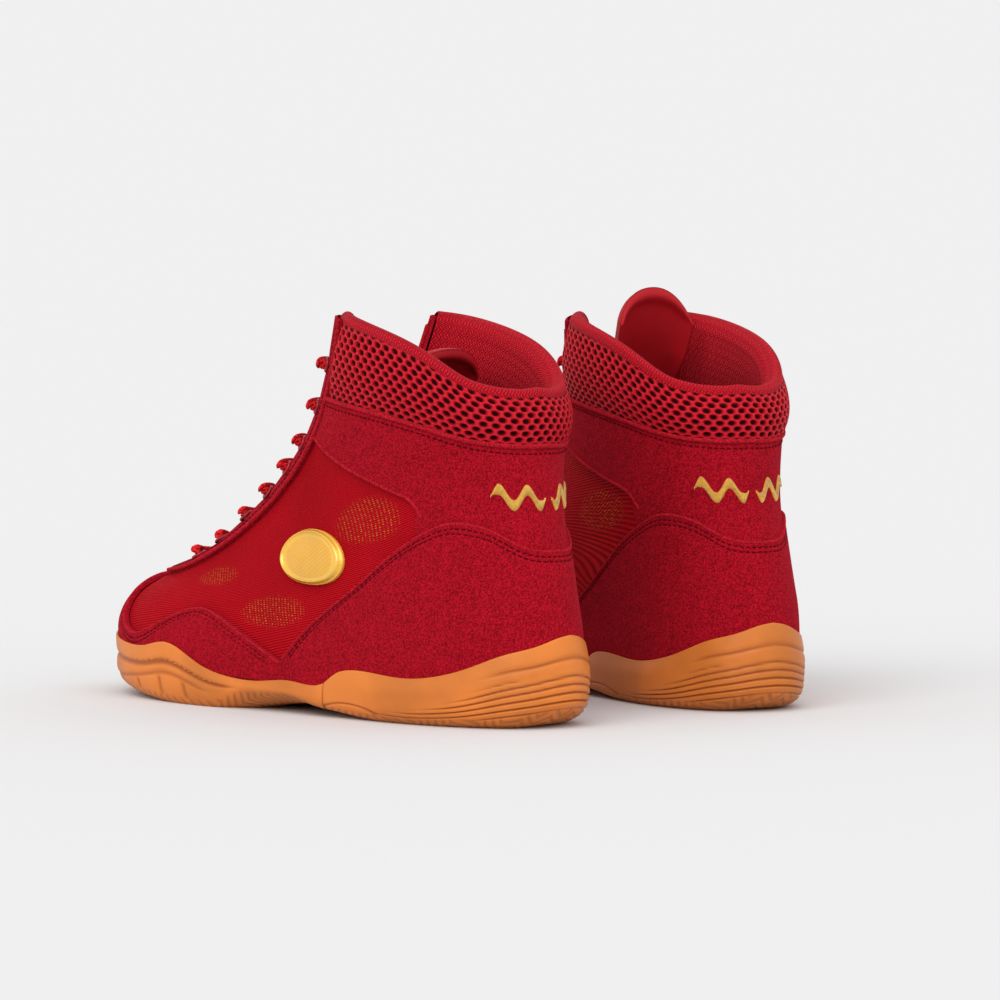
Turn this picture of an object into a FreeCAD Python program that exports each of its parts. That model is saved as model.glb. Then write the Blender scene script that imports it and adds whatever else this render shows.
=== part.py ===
import FreeCAD, Part

import math
import os

import Sketcher
from FreeCAD import Placement, Rotation, Vector

# A pair of mid-height boxing boots, standing side by side on their soles.
#
# Row frame: +X is the mean toe direction, +Y the wearer's left, +Z up, z = 0 the floor.
# Boot frame: x runs from the back of the heel to the toe, y to the boot's own outer side,
# z up. The left boot is modelled in the boot frame and placed; the right one mirrors it.

# ---------------------------------------------------------------- driving dimensions

DRIVING = (
    # alias, value, meaning (mm or degrees)
    ("sole_length", 292, "outsole, heel to toe"),
    ("heel_spacing", 117.2, "between the two heel centres"),
    ("toe_out", 8.75, "each boot turned outward"),
    ("stance_back", -137.6, "heel origin in the row frame"),
    ("lining_depth", 4.6, "inside face of the lining under the form"),
    ("lining_thick", 1.0, "lining fabric"),
    ("stiffener_depth", 3.3, "inside face of the moulded stiffeners"),
    ("stiffener_thick", 1.0, "moulded stiffeners"),
    ("mesh_depth", 2.0, "inside face of the mesh"),
    ("mesh_thick", 0.8, "mesh fabric"),
    ("band_depth", 0.8, "inside face of the ankle band"),
    ("suede_thick", 1.0, "suede panels"),
    ("overlay_lift", 0.5, "inside face of the suede overlays above the form"),
    ("sole_clearance", 1.8, "inside face of the sole wall above the form"),
    ("sole_wall", 2.2, "sole wall"),
    ("tread_thick", 4.8, "outsole under the foot"),
    ("tread_sink", 0.8, "tread trimmed off flat at the floor"),
    ("board_thick", 1.3, "insole board"),
    ("insole_thick", 4.0, "removable insole"),
    ("collar_bulge", 4.0, "padding beyond the form on the outside"),
    ("tongue_depth", 9.4, "inside face of the tongue under the form"),
    ("tongue_thick", 2.8, "padded tongue"),
    ("tongue_rise", 16, "tongue above the collar"),
    ("tongue_wall", 140, "form height that one level stands for on the tongue"),
    ("tongue_half_angle", 27, "half of the free end's width"),
    ("left_tongue_lean", 30, "left tongue tipped back into the collar"),
    ("right_tongue_lean", 6, "right tongue tipped back"),
    ("lace_radius", 1.6, "round lace"),
    ("eyelet_bore", 2.0, "eyelet hole radius"),
    ("eyelet_outer", 2.8, "eyelet barrel radius"),
    ("eyelet_flange", 3.7, "eyelet flange radius"),
    ("eyelet_height", 2.2, "eyelet, end to end"),
    ("aglet_length", 9, "lace tip"),
    ("shank_length", 92, "arch plate"),
    ("shank_width", 22, "arch plate"),
    ("shank_thick", 1.2, "arch plate"),
    ("shank_start", 52, "arch plate, from the back"),
    ("shank_level", 8.3, "underside of the arch plate above the floor"),
    ("emblem_length", 52, "side emblem"),
    ("emblem_width", 27, "side emblem"),
    ("emblem_height", 3.0, "side emblem at its centre"),
    ("motif_thick", 0.8, "embroidered motif at the heel"),
    ("heel_unit", 106, "heel outsole, from the back"),
    ("toe_unit", 198, "start of the toe outsole, from the back"),
)

# ---------------------------------------------------------------- boot form
#
# The outside of the upper is one surface of closed loops. A loop's level is 0 at the sole
# and 1 at the collar's piping; its angle is 0 at the back seam, positive round the outer
# side and 180 at the front. Each loop leans forward from a back point to a front point,
# and its half width comes from five angles on either side.

FORM_LENGTH = 303.0
LEVELS = (0.00, 0.10, 0.20, 0.32, 0.45, 0.60, 0.75, 0.88, 1.00)
BACK_X = (-3, -4, -3, 0, 4, 9, 12, 14, 15)
BACK_Z = (16, 30, 44, 58, 76, 96, 116, 134, 150)
FRONT_X = (288, 292, 282, 255, 220, 183, 152, 136, 128)
FRONT_Z = (22, 36, 50, 62, 79, 103, 131, 157, 181)
LOOP_BOW = (-7, -7, -5, -2, 0, 0, 1, 2, 3)
WIDTH_ANGLES = (0, 45, 90, 135, 180)
OUTER_WIDTHS = (
    (54, 47, 41, 58, 62),
    (56, 49, 42, 57, 62),
    (56, 49, 41, 51, 56),
    (52, 47, 39, 42, 46),
    (47, 44, 37, 37, 40),
    (44, 42, 37, 37, 40),
    (44, 43, 40, 42, 48),
    (46, 45, 43, 47, 60),
    (46, 46, 44, 50, 66),
)
INNER_WIDTHS = (
    (54, 43, 31, 54, 60),
    (56, 45, 33, 55, 60),
    (56, 45, 34, 50, 54),
    (52, 44, 35, 42, 46),
    (47, 42, 36, 38, 40),
    (44, 42, 38, 38, 40),
    (44, 43, 41, 44, 48),
    (46, 46, 45, 50, 60),
    (46, 47, 46, 54, 68),
)
TOE_SWING = 7.0          # the toe turns in towards the other foot
SHAFT_SWING = 5.0        # the shaft leans the same way
RIM_DIP = 8.0            # the rim dips behind the ankle bone
RIM_DIP_ANGLE = 38.0
RIM_DIP_SPREAD = 28.0
THROAT_ANGLE = 146.0     # beyond this angle the laces pull the front flat
THROAT_FLATNESS = 0.2

# Style lines as (angles, levels): each is the level of an edge at an angle.
COUNTER_TOP = (
    (0, 8, 21, 32, 42, 51, 59, 68, 80, 90),
    (0.475, 0.475, 0.495, 0.54, 0.56, 0.555, 0.515, 0.435, 0.24, 0.06),
)
MESH_TOP = (
    (60, 65, 72, 85, 102, 124, 150),
    (0.56, 0.605, 0.63, 0.655, 0.685, 0.725, 0.765),
)
GUARD_TOP = (
    (86, 94, 102, 110, 116, 123, 135, 150, 162, 180),
    (0.07, 0.125, 0.17, 0.205, 0.21, 0.165, 0.10, 0.16, 0.235, 0.27),
)
SOLE_TOP = (
    (0, 6, 16, 28, 38, 47, 56, 64, 70, 74, 77, 86, 94, 102, 109, 115, 121, 127, 137, 160, 180),
    (0.185, 0.185, 0.185, 0.155, 0.11, 0.08, 0.07, 0.08, 0.08, 0.06, 0.03, 0.025, 0.012, 0.012,
     0.035, 0.075, 0.09, 0.07, 0.055, 0.06, 0.07),
)
THROAT_EDGE = ((0.30, 0.34, 0.45, 0.60, 0.80, 1.00), (166, 163, 155, 152, 150, 149))
COLLAR_SEAM = 0.835
VAMP_TOP = 0.34
EYESTAY_ANGLE = 17.0
EYELET_INSET = 6.5
LACE_BEND = 1.9
LACE_UNDER = -2.7         # the lace's hidden runs, from the eyelet seats
FLANGE_GAP = 2.8          # from an eyelet's flange to the lace's underside, before it bends
STRIP_GAP = 2.4           # from the strip's edge to the lace's underside
EYELET_LEVELS = (0.37, 0.43, 0.51, 0.585, 0.655, 0.72, 0.81, 0.91)
COLLAR_END = 130.5
MESH_LOFT = 0.9
TONGUE_SPLIT = 0.806      # level of the fold between the tongue's two lengths
TONGUE_ARCH = 0.11        # how far the tongue's corners lie below its middle, in levels
TONGUE_TUCK = 3.0         # how far its free end lies inside the lower length
EMBLEM_PLACE = (0.42, 95.0)
EMBLEM_SLANT = 24.0
EMBLEM_RIM = 0.7          # height of the badge at its edge
MOTIF_LEVEL = 0.65
MOTIF_SWING = 0.028
MOTIF_WIDTH = 0.030
BOARD_DROP = 0.4          # the board's top below the rim of the sole
SHANK_OFFSET = 3.0        # the arch plate lies towards the outer side
POCKET_GAP = 0.5          # round the arch plate, in the midsole
POCKET_DEPTH = 8.0

# Height of the tread above the floor along the sole, at fractions of its length.
TREAD_LINE = ((0, 0.05, 0.10, 0.30, 0.37, 0.45, 0.52, 0.58, 0.76, 0.84, 0.92, 1.0),
              (7, 1.2, 0, 0, 2.0, 3.2, 2.0, 0, 0, 2.5, 6.5, 13))


class Curve:
    """A natural cubic spline through (key, value) pairs, constant beyond its ends."""

    def __init__(self, keys, values):
        self.keys = keys
        self.values = values
        count = len(keys)
        steps = [keys[i + 1] - keys[i] for i in range(count - 1)]
        upper = [0.0] * count
        right = [0.0] * count
        for i in range(1, count - 1):
            slope_after = (values[i + 1] - values[i]) / steps[i]
            slope_before = (values[i] - values[i - 1]) / steps[i - 1]
            pivot = 2 * (steps[i - 1] + steps[i]) - steps[i - 1] * upper[i - 1]
            upper[i] = steps[i] / pivot
            right[i] = (6 * (slope_after - slope_before) - steps[i - 1] * right[i - 1]) / pivot
        self.bends = [0.0] * count
        for i in range(count - 2, 0, -1):
            self.bends[i] = right[i] - upper[i] * self.bends[i + 1]

    def __call__(self, key):
        keys = self.keys
        key = min(max(key, keys[0]), keys[-1])
        i = 0
        while i < len(keys) - 2 and key > keys[i + 1]:
            i += 1
        step = keys[i + 1] - keys[i]
        a = (keys[i + 1] - key) / step
        b = 1 - a
        bend = (a ** 3 - a) * self.bends[i] + (b ** 3 - b) * self.bends[i + 1]
        return a * self.values[i] + b * self.values[i + 1] + bend * step * step / 6


def ramp(value, low, high):
    """0 below low, 1 above high, smooth between them."""
    share = min(max((value - low) / (high - low), 0.0), 1.0)
    return share * share * (3 - 2 * share)


class Form:
    """The boot's outer surface as a function of level and angle."""

    def __init__(self, scale):
        self.scale = scale
        self.loop = [Curve(LEVELS, row) for row in (BACK_X, BACK_Z, FRONT_X, FRONT_Z, LOOP_BOW)]
        self.outer = [Curve(LEVELS, [row[i] for row in OUTER_WIDTHS]) for i in range(5)]
        self.inner = [Curve(LEVELS, [row[i] for row in INNER_WIDTHS]) for i in range(5)]
        self.known = {}

    def point(self, level, angle):
        """The surface point; the angle may run past 180, round the front."""
        if angle > 180:
            angle -= 360
        if angle < -180:
            angle += 360
        turn = abs(angle)
        back_x, back_z, front_x, front_z, bow = [curve(level) for curve in self.loop]
        widths = [curve(level) for curve in (self.outer if angle >= 0 else self.inner)]
        width = Curve(WIDTH_ANGLES, widths)(turn)
        along = (1 - math.cos(math.radians(turn))) / 2
        if turn > THROAT_ANGLE:
            edge = (1 - math.cos(math.radians(THROAT_ANGLE))) / 2
            flat = edge + (along - edge) * THROAT_FLATNESS
            along += (flat - along) * ramp(level, 0.30, 0.44)
        x = back_x + along * (front_x - back_x)
        z = back_z + along * (front_z - back_z) + bow * 4 * along * (1 - along)
        dip = math.exp(-((turn - RIM_DIP_ANGLE) / RIM_DIP_SPREAD) ** 2)
        z -= RIM_DIP * dip * min(max((level - 0.72) / 0.28, 0), 1)
        y = math.copysign(math.sin(math.radians(turn)) * width, angle)
        y -= TOE_SWING * (x / 275.0) ** 2 * (1 - min(max((z - 60) / 80.0, 0), 1))
        y -= SHAFT_SWING * min(max((z - 50) / 130.0, 0), 1)
        return Vector(x, y, z) * self.scale

    def frame(self, level, angle):
        """The point, the outward normal and the upward direction along the surface."""
        key = (round(level, 5), round(angle, 3))
        if key not in self.known:
            low = max(level - 0.004, 0.0)
            high = min(level + 0.004, 1.0)
            rise = self.point(high, angle) - self.point(low, angle)
            run = self.point(level, angle + 0.8) - self.point(level, angle - 0.8)
            normal = rise.cross(run)
            normal.normalize()
            rise.normalize()
            self.known[key] = (self.point(level, angle), normal, rise)
        return self.known[key]

    def offset(self, level, angle, distance):
        """The point a distance outside the surface."""
        point, normal, _ = self.frame(level, angle)
        return point + normal * distance


# ---------------------------------------------------------------- solids from surfaces

def blend(a, b, share):
    return a + (b - a) * share


def smooth_face(grid):
    """A face that follows a grid of points and keeps exactly to its four border rows. It is
    cubic both ways, or straight from row to row if there are only two."""
    def knots(count):
        degree = min(count - 1, 3)
        spans = count - degree
        places = [i / spans for i in range(spans + 1)]
        repeats = [degree + 1] + [1] * (spans - 1) + [degree + 1]
        return places, repeats, degree
    row_places, row_repeats, row_degree = knots(len(grid))
    column_places, column_repeats, column_degree = knots(len(grid[0]))
    surface = Part.BSplineSurface()
    surface.buildFromPolesMultsKnots(grid, row_repeats, column_repeats, row_places, column_places,
                                     False, False, row_degree, column_degree)
    return surface.toShape()


SEWING_REACH = 0.002


def closed_solid(faces):
    """One solid from faces that meet edge to edge."""
    shell = Part.Shell(faces)
    shell.sewShape(SEWING_REACH)
    solid = Part.Solid(shell)
    if solid.Volume < 0:
        solid.reverse()
    return solid


def column(grid, place):
    return [row[place] for row in grid]


def thick_patch(outer, inner, rows, columns):
    """A solid between two patches, each a function of two shares from 0 to 1."""
    def grid(place):
        return [[place(i / (rows - 1), j / (columns - 1)) for j in range(columns)] for i in range(rows)]
    outside = grid(outer)
    inside = grid(inner)
    faces = [smooth_face(outside), smooth_face(inside)]
    for end in (0, -1):
        faces.append(smooth_face([outside[end], inside[end]]))
        faces.append(smooth_face([column(outside, end), column(inside, end)]))
    return closed_solid(faces)


def dish(outer, inner, rows=9, columns=40):
    """A solid between two dishes. Each is a function of a share from the spine of the sole
    to the rim and of the angle; the outer and inner halves of the foot meet at the spine."""
    def grid(place, side):
        return [[place(i / (rows - 1), side * 180.0 * j / (columns - 1)) for j in range(columns)]
                for i in range(rows)]
    faces = []
    for side in (1, -1):
        outside = grid(outer, side)
        inside = grid(inner, side)
        faces += [smooth_face(outside), smooth_face(inside)]
        faces.append(smooth_face([outside[-1], inside[-1]]))
    return closed_solid(faces)


def rounded_path(points, radius):
    """Straight runs joined by tangent arcs, as one wire."""
    edges = []
    start = points[0]
    for before, corner, after in zip(points, points[1:], points[2:]):
        back = (before - corner).normalize()
        ahead = (after - corner).normalize()
        half = back.getAngle(ahead) / 2
        reach = radius / math.tan(half)
        arc_start = corner + back * reach
        arc_end = corner + ahead * reach
        toward = (back + ahead).normalize()
        middle = corner + toward * (radius / math.sin(half) - radius)
        edges.append(Part.LineSegment(start, arc_start).toShape())
        edges.append(Part.Arc(arc_start, middle, arc_end).toShape())
        start = arc_end
    edges.append(Part.LineSegment(start, points[-1]).toShape())
    return Part.Wire(edges)


def tube(points, radius, bend):
    """A round cord along a rounded path."""
    path = rounded_path(points, bend)
    direction = points[1] - points[0]
    section = Part.Wire([Part.makeCircle(radius, points[0], direction)])
    solid = path.makePipeShell([section], True, True)
    if solid.Volume < 0:
        solid.reverse()
    return solid, path


# ---------------------------------------------------------------- the boot's pieces

class Boot:
    """Shapes of the left boot's pieces, in the boot frame."""

    def __init__(self, size):
        self.size = size
        self.scale = size.sole_length / FORM_LENGTH
        self.form = Form(self.scale)
        self.counter_top = Curve(*COUNTER_TOP)
        self.mesh_top = Curve(*MESH_TOP)
        self.guard_top = Curve(*GUARD_TOP)
        self.sole_top = Curve(*SOLE_TOP)
        self.throat_edge = Curve(*THROAT_EDGE)
        self.tread_line = Curve(*TREAD_LINE)

    # -- skins over the form

    def skin(self, low, high, first, last, depth, thick, rows=8, columns=30):
        """A panel between two edges given as functions of the angle, from the first angle
        to the last, from depth (outward positive) up by its thickness."""
        def place(lift):
            def at(up, along):
                angle = blend(first, last, along)
                level = blend(low(angle), high(angle), up)
                return self.form.offset(level, angle, lift)
            return at
        return thick_patch(place(depth + thick), place(depth), rows, columns)

    def heel_counter(self):
        size = self.size
        return self.skin(lambda angle: 0.012, lambda angle: self.counter_top(abs(angle)),
                         -89, 89, size.overlay_lift, size.suede_thick, columns=44)

    def heel_stiffener(self):
        size = self.size
        return self.skin(lambda angle: 0.012, lambda angle: self.counter_top(abs(angle)) - 0.07,
                         -60, 60, -size.stiffener_depth, size.stiffener_thick)

    def toe_guard(self):
        size = self.size
        return self.skin(lambda angle: 0.012, lambda angle: self.guard_top(180 - abs(180 - angle)),
                         90.5, 269.5, size.overlay_lift, size.suede_thick, columns=52)

    def toe_puff(self):
        size = self.size
        return self.skin(lambda angle: 0.012, lambda angle: 0.25, 124, 236,
                         -size.stiffener_depth, size.stiffener_thick)

    def mesh_low(self, angle):
        """The mesh's lower edge, tucked under the counter and then under the guard."""
        behind = self.counter_top(angle) - 0.05
        ahead = max(self.guard_top(angle) - 0.05, 0.012)
        return blend(behind, ahead, ramp(angle, 84, 94))

    def mesh_panel(self, side):
        size = self.size
        return self.skin(lambda angle: self.mesh_low(abs(angle)),
                         lambda angle: self.mesh_top(abs(angle)) + 0.02,
                         side * 62, side * 139, -size.mesh_depth, size.mesh_thick,
                         rows=16, columns=48)

    def vamp_mesh(self):
        size = self.size
        return self.skin(lambda angle: self.mesh_low(180 - abs(180 - angle)), lambda angle: 0.335,
                         140, 220, -size.mesh_depth, size.mesh_thick, rows=12, columns=40)

    def band_low(self, angle):
        """The band's lower edge: behind, tucked under the counter; ahead, over the mesh."""
        behind = self.counter_top(angle) - 0.04
        return blend(behind, self.mesh_top(angle), ramp(angle, 58, 65))

    def ankle_band(self):
        size = self.size
        end = THROAT_ANGLE - EYESTAY_ANGLE + 6
        return self.skin(lambda angle: self.band_low(abs(angle)), lambda angle: COLLAR_SEAM,
                         -end, end, -size.band_depth, size.suede_thick, columns=60)

    def quarter_lining(self):
        size = self.size
        def low(angle):
            return blend(0.012, 0.365, ramp(abs(angle), 98, 106))
        end = THROAT_ANGLE - EYESTAY_ANGLE + 7
        return self.skin(low, lambda angle: COLLAR_SEAM - 0.005, -end, end,
                         -size.lining_depth, size.lining_thick, rows=12, columns=72)

    def vamp_lining(self):
        size = self.size
        return self.skin(lambda angle: 0.012, lambda angle: VAMP_TOP, 107, 253,
                         -size.lining_depth, size.lining_thick, columns=36)

    def eyestay(self, side):
        """The strip along the throat, with a hole at every eyelet."""
        size = self.size
        def place(lift):
            def at(up, along):
                level = blend(0.35, 0.985, up)
                angle = self.throat_edge(level) - EYESTAY_ANGLE * (1 - along)
                return self.form.offset(level, side * angle, lift)
            return at
        strip = thick_patch(place(size.overlay_lift + size.suede_thick), place(size.overlay_lift), 30, 6)
        for point, normal in self.eyelet_seats(side):
            drill = Part.makeCylinder(size.eyelet_outer + 0.15, 12, point - normal * 6, normal)
            strip = strip.cut(drill)
        return strip

    def eyelet_seats(self, side):
        """The centre and the outward direction of each eyelet, at the strip's underside."""
        seats = []
        for level in EYELET_LEVELS:
            angle = side * (self.throat_edge(level) - EYELET_INSET)
            point, normal, _ = self.form.frame(level, angle)
            seats.append((point + normal * self.size.overlay_lift, normal))
        return seats

    # -- collar and tongue

    def rim_place(self, angle, out, rise):
        """A point beside the rim: so far out along the normal and up along the surface."""
        if rise <= 0:
            wall = (self.form.point(1.0, angle) - self.form.point(0.75, angle)).Length / 0.25
            return self.form.offset(1.0 + rise / wall, angle, out)
        point, normal, up = self.form.frame(1.0, angle)
        return point + normal * out + up * rise

    def seam_drop(self, angle):
        return (self.form.point(1.0, angle) - self.form.point(COLLAR_SEAM, angle)).Length

    def collar_skin(self, outline, thick, rows):
        """A skin round the collar whose section is an outline of (out, rise) by share."""
        def place(inset):
            def at(up, along):
                angle = blend(-COLLAR_END, COLLAR_END, along)
                out, rise, tilt = outline(up, self.seam_drop(angle))
                return self.rim_place(angle, out - inset * math.cos(tilt), rise - inset * math.sin(tilt))
            return at
        return thick_patch(place(0), place(thick), rows, 44)

    def collar_swell(self, share):
        """How far the padded collar stands out, from the seam (0) to the piping (1)."""
        share = min(max(share, 0.0), 1.0)
        return 0.3 + self.size.collar_bulge * math.sin(math.pi * share) ** 0.8

    def collar_mesh(self):
        def outline(up, drop):
            return self.collar_swell(up), blend(-drop + 0.5, -0.4, up), 0
        return self.collar_skin(outline, MESH_LOFT, 9)

    def collar_lining(self):
        """The knit lining: from the piping over the rim and down inside the collar."""
        inside = self.size.lining_depth
        def outline(up, drop):
            if up < 0.45:
                tilt = math.pi * up / 0.45
                return -4.6 + 5.2 * math.cos(tilt), 0.4 + 8.0 * math.sin(tilt), tilt
            down = (up - 0.45) / 0.55
            out = blend(-9.8, -inside + 0.2, down) - 2.0 * math.sin(math.pi * down)
            return out, 0.4 - (drop + 0.2) * down, math.pi
        return self.collar_skin(outline, 1.0, 16)

    def collar_foam(self):
        """The padding between the collar mesh and the lining."""
        inside = self.size.lining_depth
        def place(outer):
            def at(up, along):
                angle = blend(-COLLAR_END, COLLAR_END, along)
                drop = self.seam_drop(angle)
                rise = blend(-drop + 0.8, 5.0, up)
                if outer:
                    out = self.collar_swell(1 + rise / drop) - MESH_LOFT - 0.6
                    out -= 2.6 * ramp(up, 0.7, 1.0)
                else:
                    out = blend(-inside + 1.6, -8.0, math.sin(math.pi / 2 * up))
                    out -= 1.4 * math.sin(math.pi * up)
                    out += 1.6 * ramp(up, 0.8, 1.0)
                return self.rim_place(angle, out, rise)
            return at
        return thick_patch(place(True), place(False), 12, 44)

    def tongue_lower(self):
        size = self.size
        def place(lift):
            def at(up, along):
                level = blend(0.35, 0.80, up)
                half = blend(25, 34, ramp(level, 0.35, 0.5))
                half = blend(half, 29, ramp(level, 0.66, 0.80))
                return self.form.offset(level, 180 + half * (2 * along - 1), lift)
            return at
        return thick_patch(place(size.tongue_thick - size.tongue_depth), place(-size.tongue_depth), 20, 14)

    def tongue_top(self, lean):
        """The free end of the tongue, arched at the top and tipped back by an angle."""
        size = self.size
        hinge = self.tongue_hinge()
        top_level = 1.0 + size.tongue_rise / size.tongue_wall
        def place(lift):
            def at(up, along):
                across = 2 * along - 1
                level = blend(TONGUE_SPLIT + 0.006, top_level, up) - TONGUE_ARCH * up * up * across ** 2
                angle = 180 + size.tongue_half_angle * across
                if level > 1.0:
                    point, normal, rise = self.form.frame(1.0, angle)
                    point = point + rise * (level - 1.0) * size.tongue_wall
                else:
                    point, normal, rise = self.form.frame(level, angle)
                point = point + normal * (lift - TONGUE_TUCK * up)
                bend = Rotation(Vector(0, 1, 0), -lean * ramp(up, 0.0, 0.6))
                return hinge + bend.multVec(point - hinge)
            return at
        return thick_patch(place(size.tongue_thick - size.tongue_depth), place(-size.tongue_depth), 14, 12)

    def tongue_hinge(self):
        """The middle of the fold between the tongue's two lengths."""
        return self.form.offset(TONGUE_SPLIT, 180, -self.size.tongue_depth + self.size.tongue_thick / 2)

    # -- trim

    def emblem(self):
        """A plain oval badge, domed, lying on the outer mesh."""
        size = self.size
        level, angle = EMBLEM_PLACE
        point, normal, rise = self.form.frame(level, angle)
        per_level = (self.form.point(level + 0.05, angle) - self.form.point(level - 0.05, angle)).Length / 0.1
        per_degree = (self.form.point(level, angle + 5) - self.form.point(level, angle - 5)).Length / 10
        slant = math.radians(EMBLEM_SLANT)
        def place(height):
            def at(i, j):
                a, b = 2 * i - 1, 2 * j - 1
                across = a * math.sqrt(1 - b * b / 2) * size.emblem_width / 2
                along = b * math.sqrt(1 - a * a / 2) * size.emblem_length / 2
                ahead = along * math.cos(slant) - across * math.sin(slant)
                up = along * math.sin(slant) + across * math.cos(slant)
                reach = min((2 * across / size.emblem_width) ** 2 + (2 * along / size.emblem_length) ** 2, 1)
                return self.form.offset(level + up / per_level, angle + ahead / per_degree, height(reach))
            return at
        def top(reach):
            return EMBLEM_RIM + (size.emblem_height - EMBLEM_RIM) * (1 - reach ** 3)
        return thick_patch(place(top), place(lambda reach: -size.mesh_depth + size.mesh_thick + 0.35), 14, 14)

    def heel_motif(self):
        """Two embroidered wave ribbons, one on either side of the back seam."""
        size = self.size
        ribbons = []
        for side in (1, -1):
            def place(lift):
                def at(up, along):
                    angle = side * blend(33, 2.5, along)
                    level = MOTIF_LEVEL + MOTIF_SWING * math.sin(4 * math.pi * along)
                    level += MOTIF_WIDTH * (up - 0.5)
                    return self.form.offset(level, angle, lift)
                return at
            base = size.suede_thick - size.band_depth + 0.25
            ribbons.append(thick_patch(place(base + size.motif_thick), place(base), 5, 40))
        return Part.Compound(ribbons)

    def lace_points(self):
        """One lace from the lowest outer eyelet: over the throat, in, up behind the strip
        and out again, to the top outer eyelet, where its end is tucked up inside."""
        size = self.size
        over = size.eyelet_height + size.lace_radius + FLANGE_GAP
        outer = self.eyelet_seats(1)
        inner = self.eyelet_seats(-1)
        points = [outer[0][0] + outer[0][1] * LACE_UNDER]
        for i, level in enumerate(EYELET_LEVELS):
            side = 1 if i % 2 == 0 else -1
            start, end = (outer[i], inner[i]) if side > 0 else (inner[i], outer[i])
            if i > 0:
                points.append(start[0] + start[1] * LACE_UNDER)
            points.append(start[0] + start[1] * over)
            points.append(self.lace_edge(level, side))
            points.append(self.lace_edge(level, -side))
            points.append(end[0] + end[1] * over)
            points.append(end[0] + end[1] * LACE_UNDER)
        return points

    def lace_edge(self, level, side):
        """Where a lace row passes over the edge of the strip."""
        size = self.size
        lift = size.overlay_lift + size.suede_thick + size.lace_radius + STRIP_GAP
        return self.form.offset(level, side * self.throat_edge(level), lift)

    def lace(self):
        size = self.size
        points = self.lace_points() + [self.tail_end()]
        cord, path = tube(points, size.lace_radius, LACE_BEND)
        knot = Part.makeSphere(size.lace_radius * 1.7, points[0])
        self.lace_length = path.Length
        return cord.fuse(knot)

    def tail_end(self):
        angle = self.throat_edge(0.96) - EYELET_INSET
        return self.form.offset(0.955, angle, self.size.overlay_lift + LACE_UNDER)

    def aglet_axis(self):
        """The start and direction of the lace tip, in line with the tucked tail."""
        points = self.lace_points()
        direction = (self.tail_end() - points[-1]).normalize()
        return self.tail_end() + direction * 0.05, direction

    # -- sole and footbed

    def spine(self, angle):
        """The point of the sole's centre line that an angle's spoke starts from."""
        outer = self.form.point(0, abs(angle))
        inner = self.form.point(0, -abs(angle))
        back = self.form.point(0, 0)
        front = self.form.point(0, 180)
        x = blend(outer.x, inner.x, 0.5)
        inset = 38 * self.scale
        share = (x - back.x) / (front.x - back.x)
        x = blend(back.x + inset, front.x - inset * 1.25, share)
        y = -TOE_SWING * self.scale * (x / (275.0 * self.scale)) ** 2
        middle = blend(outer, inner, 0.5)
        y = blend(y, middle.y, math.sin(math.pi * share))
        return Vector(x, y, middle.z)

    def tread(self, x):
        """Height of the tread's underside before it is trimmed flat."""
        start = self.form.point(0, 0).x - 4
        return self.tread_line((x - start) / self.size.sole_length) - self.size.tread_sink

    def spoke(self, angle, share, reach, height):
        """A point on a spoke: a share of the way to the rim, which stands so far out."""
        foot = self.spine(angle)
        rim = self.form.offset(0.0, angle, reach)
        x = blend(foot.x, rim.x, share)
        y = blend(foot.y, rim.y, share)
        return Vector(x, y, height(x, blend(foot.z, rim.z, share)))

    def outsole_dish(self):
        size = self.size
        outer_reach = size.sole_clearance + size.sole_wall
        def profile(rows, reach, top_reach):
            def at(up, angle):
                row = int(round(up * 8))
                if row <= 5:
                    share, climb, lift = rows[row]
                    return self.spoke(angle, share, reach,
                                      lambda x, rim: blend(self.tread(x) + lift, rim, climb))
                level = self.sole_top(abs(angle)) * (row - 6) / 2.0
                return self.form.offset(level, angle, blend(reach, top_reach, (row - 6) / 2.0))
            return at
        outside = ((0, 0, 0), (0.4, 0, 0), (0.72, 0, 0), (0.88, 0.02, 0), (0.985, 0.16, 0), (1.015, 0.55, 0))
        lift = size.tread_thick
        inside = ((0, 0, lift), (0.4, 0, lift), (0.72, 0, lift), (0.88, 0.02, lift),
                  (0.97, 0.2, lift * 0.9), (1.0, 0.6, lift * 0.4))
        bowl = dish(profile(outside, outer_reach, outer_reach - 0.5),
                    profile(inside, size.sole_clearance, size.sole_clearance))
        floor = Part.makeBox(400, 200, 20, Vector(-50, -100, -20))
        return bowl.cut(floor)

    def outsole_unit(self, start, end):
        """The stretch of the outsole between two distances from the back."""
        slab = Part.makeBox(end - start, 200, 120, Vector(start, -100, -1))
        return self.whole_sole.common(slab)

    def outsoles(self):
        size = self.size
        self.whole_sole = self.outsole_dish()
        return {
            "heel_outsole": self.outsole_unit(-30, size.heel_unit - 0.2),
            "ball_outsole": self.outsole_unit(size.heel_unit + 0.2, size.toe_unit - 0.2),
            "toe_outsole": self.outsole_unit(size.toe_unit + 0.2, 340),
        }

    def slab(self, top, bottom, reach, bottom_share=1.0):
        """A flat layer of the footbed between two heights given by (x, rim height)."""
        def place(height, edge):
            def at(up, angle):
                return self.spoke(angle, up * edge, reach, height)
            return at
        return dish(place(bottom, bottom_share), place(top, 1.0), rows=6)

    def midsole(self, plate_pocket):
        lift = self.size.tread_thick + 0.5
        def bottom(up, angle):
            shares = (0, 0.3, 0.55, 0.78, 0.9, 0.965)
            climbs = (0, 0, 0, 0.04, 0.25, 0.75)
            row = int(round(up * 5))
            return self.spoke(angle, shares[row], 0.9,
                              lambda x, rim: blend(self.tread(x) + lift, rim - 2.4, climbs[row]))
        def top(up, angle):
            return self.spoke(angle, up * 0.99, 0.9, lambda x, rim: rim - 2.0)
        return dish(bottom, top, rows=6).cut(plate_pocket)

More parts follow.
